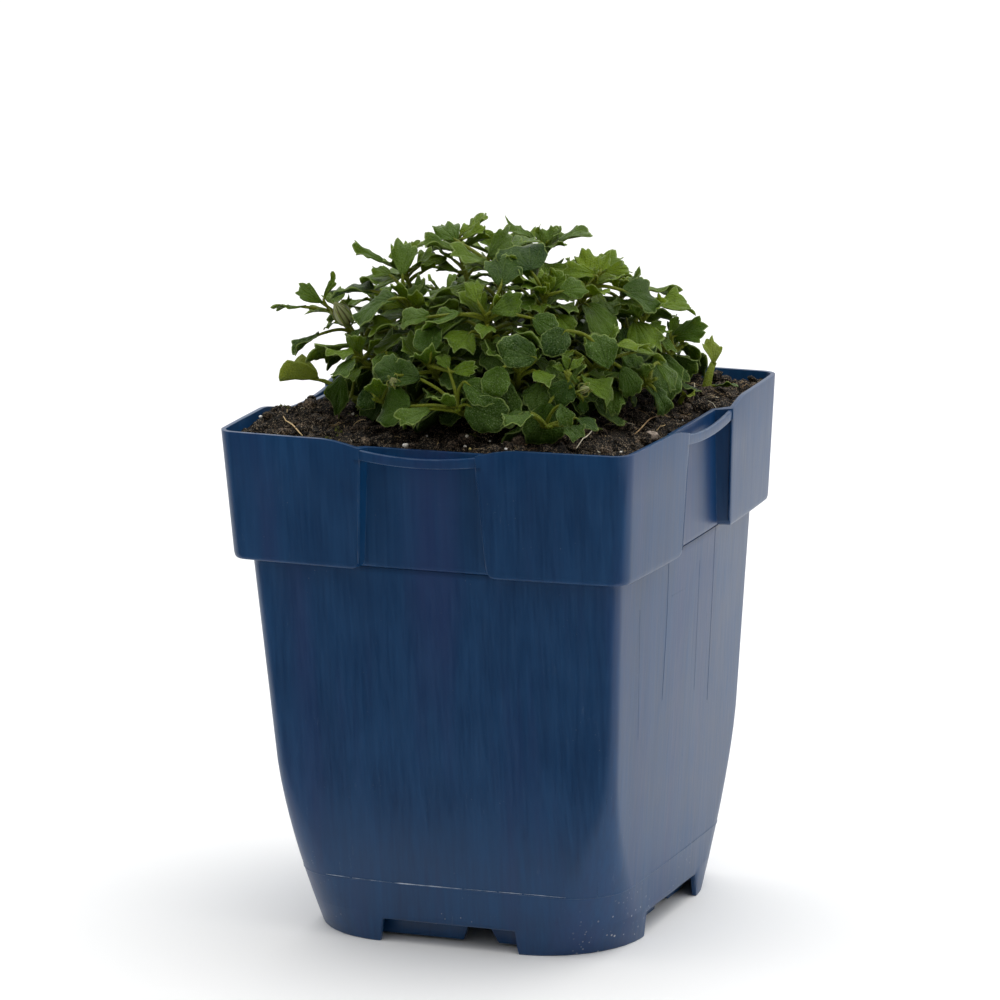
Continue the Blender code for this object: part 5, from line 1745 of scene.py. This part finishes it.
def makePlantlet(name, start, end, leaves):
    draw = random.Random(len(name))
    points, radii = rounded(*plantletPoints(start, end))
    if name == "seedling":
        radii = [radius * upright["thick"] for radius in radii]
        points = [point + upright["lean"] * (1.0 - i / (len(points) - 1)) for i, point in enumerate(points)]
    items = [fineTube(points, radii, 8, 1.0, 0.5, 0.2)]
    paint(items[0], youngGreen)
    for row, pose in zip(leaves, dict(young_leaf=[pouch], seedling=[upright, lowLeaf]).get(name, [None])):
        grown = plantletLeaf(end, row)
        root, base, form = points[-1], grown["place"].translation, dict(fold=grown["fold"] + 0.3, share=0.9)
        if pose:
            form = pose["form"]
            turn, pitch, roll = (radians(pose[key]) for key in ("turn", "pitch", "roll"))
            if pose is lowLeaf:
                root = points[int(pose["onStalk"] * len(points))]
                base = root + (wayAt(turn) + upBy(0.1)) * pose["away"]
            grown["place"] = leafFrame(base, turn, pitch, roll)
        kind = "smooth" if pose in (pouch, lowLeaf) else None
        grown.update(share=1.0, points=[root, root.lerp(base, 0.5), base])
        for item in (fineLeaf({**grown, **form}, draw, kind=kind), finePetiole(grown, draw)):
            paint(item, green if pose is lowLeaf else youngGreen)
            items.append(item)
    piece = joinPieces(name + "_plantlet", items)
    dress(piece, "young_green", name)


def budFinish():
    # Pale green with brownish stripes along it.
    finish = Finish("bud_green", Specular_IOR_Level=0.30, Roughness=0.45, Subsurface_Weight=0.15,
                    Subsurface_Scale=0.8 * mm)
    stripe, chance, kind = finish.tones()
    grain = finish.grain(finish.place(), 900.0, 2.0, 0.6)
    skin = finish.mix(finish.between(stripe, 0.50, 0.80), (0.290, 0.320, 0.130), (0.105, 0.098, 0.040))
    sepal = finish.mix(grain, (0.140, 0.185, 0.020), (0.260, 0.310, 0.090))
    finish.set(Base_Color=finish.mix(kind, skin, sepal), Normal=finish.bump(grain + stripe * 0.5, 0.5, 0.15 * mm))
    return finish


calyx = dict(sides=40, ridges=5, ridge=0.09, stripes=10, twist=0.5, shape=(
    (0.0, 0.26), (0.06, 0.56), (0.16, 0.84), (0.30, 0.98), (0.46, 1.0), (0.62, 0.88), (0.76, 0.64), (0.88, 0.38),
    (0.96, 0.20), (1.0, 0.06)), sepals=5, jitter=0.12, thick=(0.20, 0.26, 0.24, 0.20, 0.14, 0.05))
# A large bud has its sepals along it, and on a small one they curl over it.
largeBud = dict(width=0.92, thick=0.55,
                path=((-0.06, 0.30), (0.05, 0.80), (0.25, 1.12), (0.50, 1.16), (0.72, 1.00), (0.92, 0.96)))
smallBud = dict(width=0.62, thick=0.75,
                path=((-0.10, 0.30), (-0.02, 0.95), (0.25, 1.75), (0.60, 1.95), (0.88, 1.50), (0.90, 0.85)))


def makeBud(bud, finish):
    # A ridged, striped bud in five narrow sepals.
    (name, index), (length, radius) = bud[:2], bud[4:]
    draw = random.Random(index)
    tip, along = budLine(bud)[1:]
    form = smallBud if length < 6.0 else largeBud
    length *= mm
    radius *= mm * form["width"]
    points = [tip - along * length * (1.0 - place) for place, width in calyx["shape"]]
    rings = tubeRings(points, [radius * width for place, width in calyx["shape"]], calyx["sides"])
    for row, ring in enumerate(rings):
        for step in range(calyx["sides"]):
            angle = 2 * pi * step / calyx["sides"] + calyx["twist"] * row / len(rings)
            swell = 1.0 + calyx["ridge"] * cos(calyx["ridges"] * angle)
            ring[step] = points[row] + (ring[step] - points[row]) * swell
    items = [loft("bud", rings)]
    setTone(items[0], 0.0, 0.5, 0.0)
    layer = items[0].data.attributes["tone"].data
    across = tubeRings(points, [1.0] * len(points), 4)[0]
    first, second = across[0] - points[0], across[1] - points[0]
    for vert in items[0].data.vertices:
        away = vert.co - tip - along * (vert.co - tip).dot(along)
        angle = atan2(away.dot(second), away.dot(first))
        layer[vert.index].color = (0.5 + 0.5 * cos(calyx["stripes"] * angle), 0.5, 0.0, 1.0)
    for number in range(calyx["sepals"]):
        angle = 2 * pi * (number + draw.uniform(-calyx["jitter"], calyx["jitter"])) / calyx["sepals"]
        out = first * cos(angle) + second * sin(angle)
        line = [tip - along * length * (1.0 - place) + out * radius * width for place, width in form["path"]]
        line, radii = rounded(line, [radius * form["thick"] * width for width in calyx["thick"]])
        items.append(fineTube(line, radii, 6, 0.0, draw.random(), 1.0))
    piece = joinPieces(name + "_calyx", items)
    smooth(piece)
    paint(piece, finish)
    dress(piece, "bud_green", name)


for index, shoot in enumerate(shoots):
    makeShoot(index, shoot)
print("the shoots are there")
for row in plantletPlan:
    makePlantlet(*row)
budGreen = budFinish()
for bud in budPlan:
    makeBud(bud, budGreen)
drop(*(master for master, co in [*masters.values(), *tubes.values()]))
print("plantlets and buds are there")
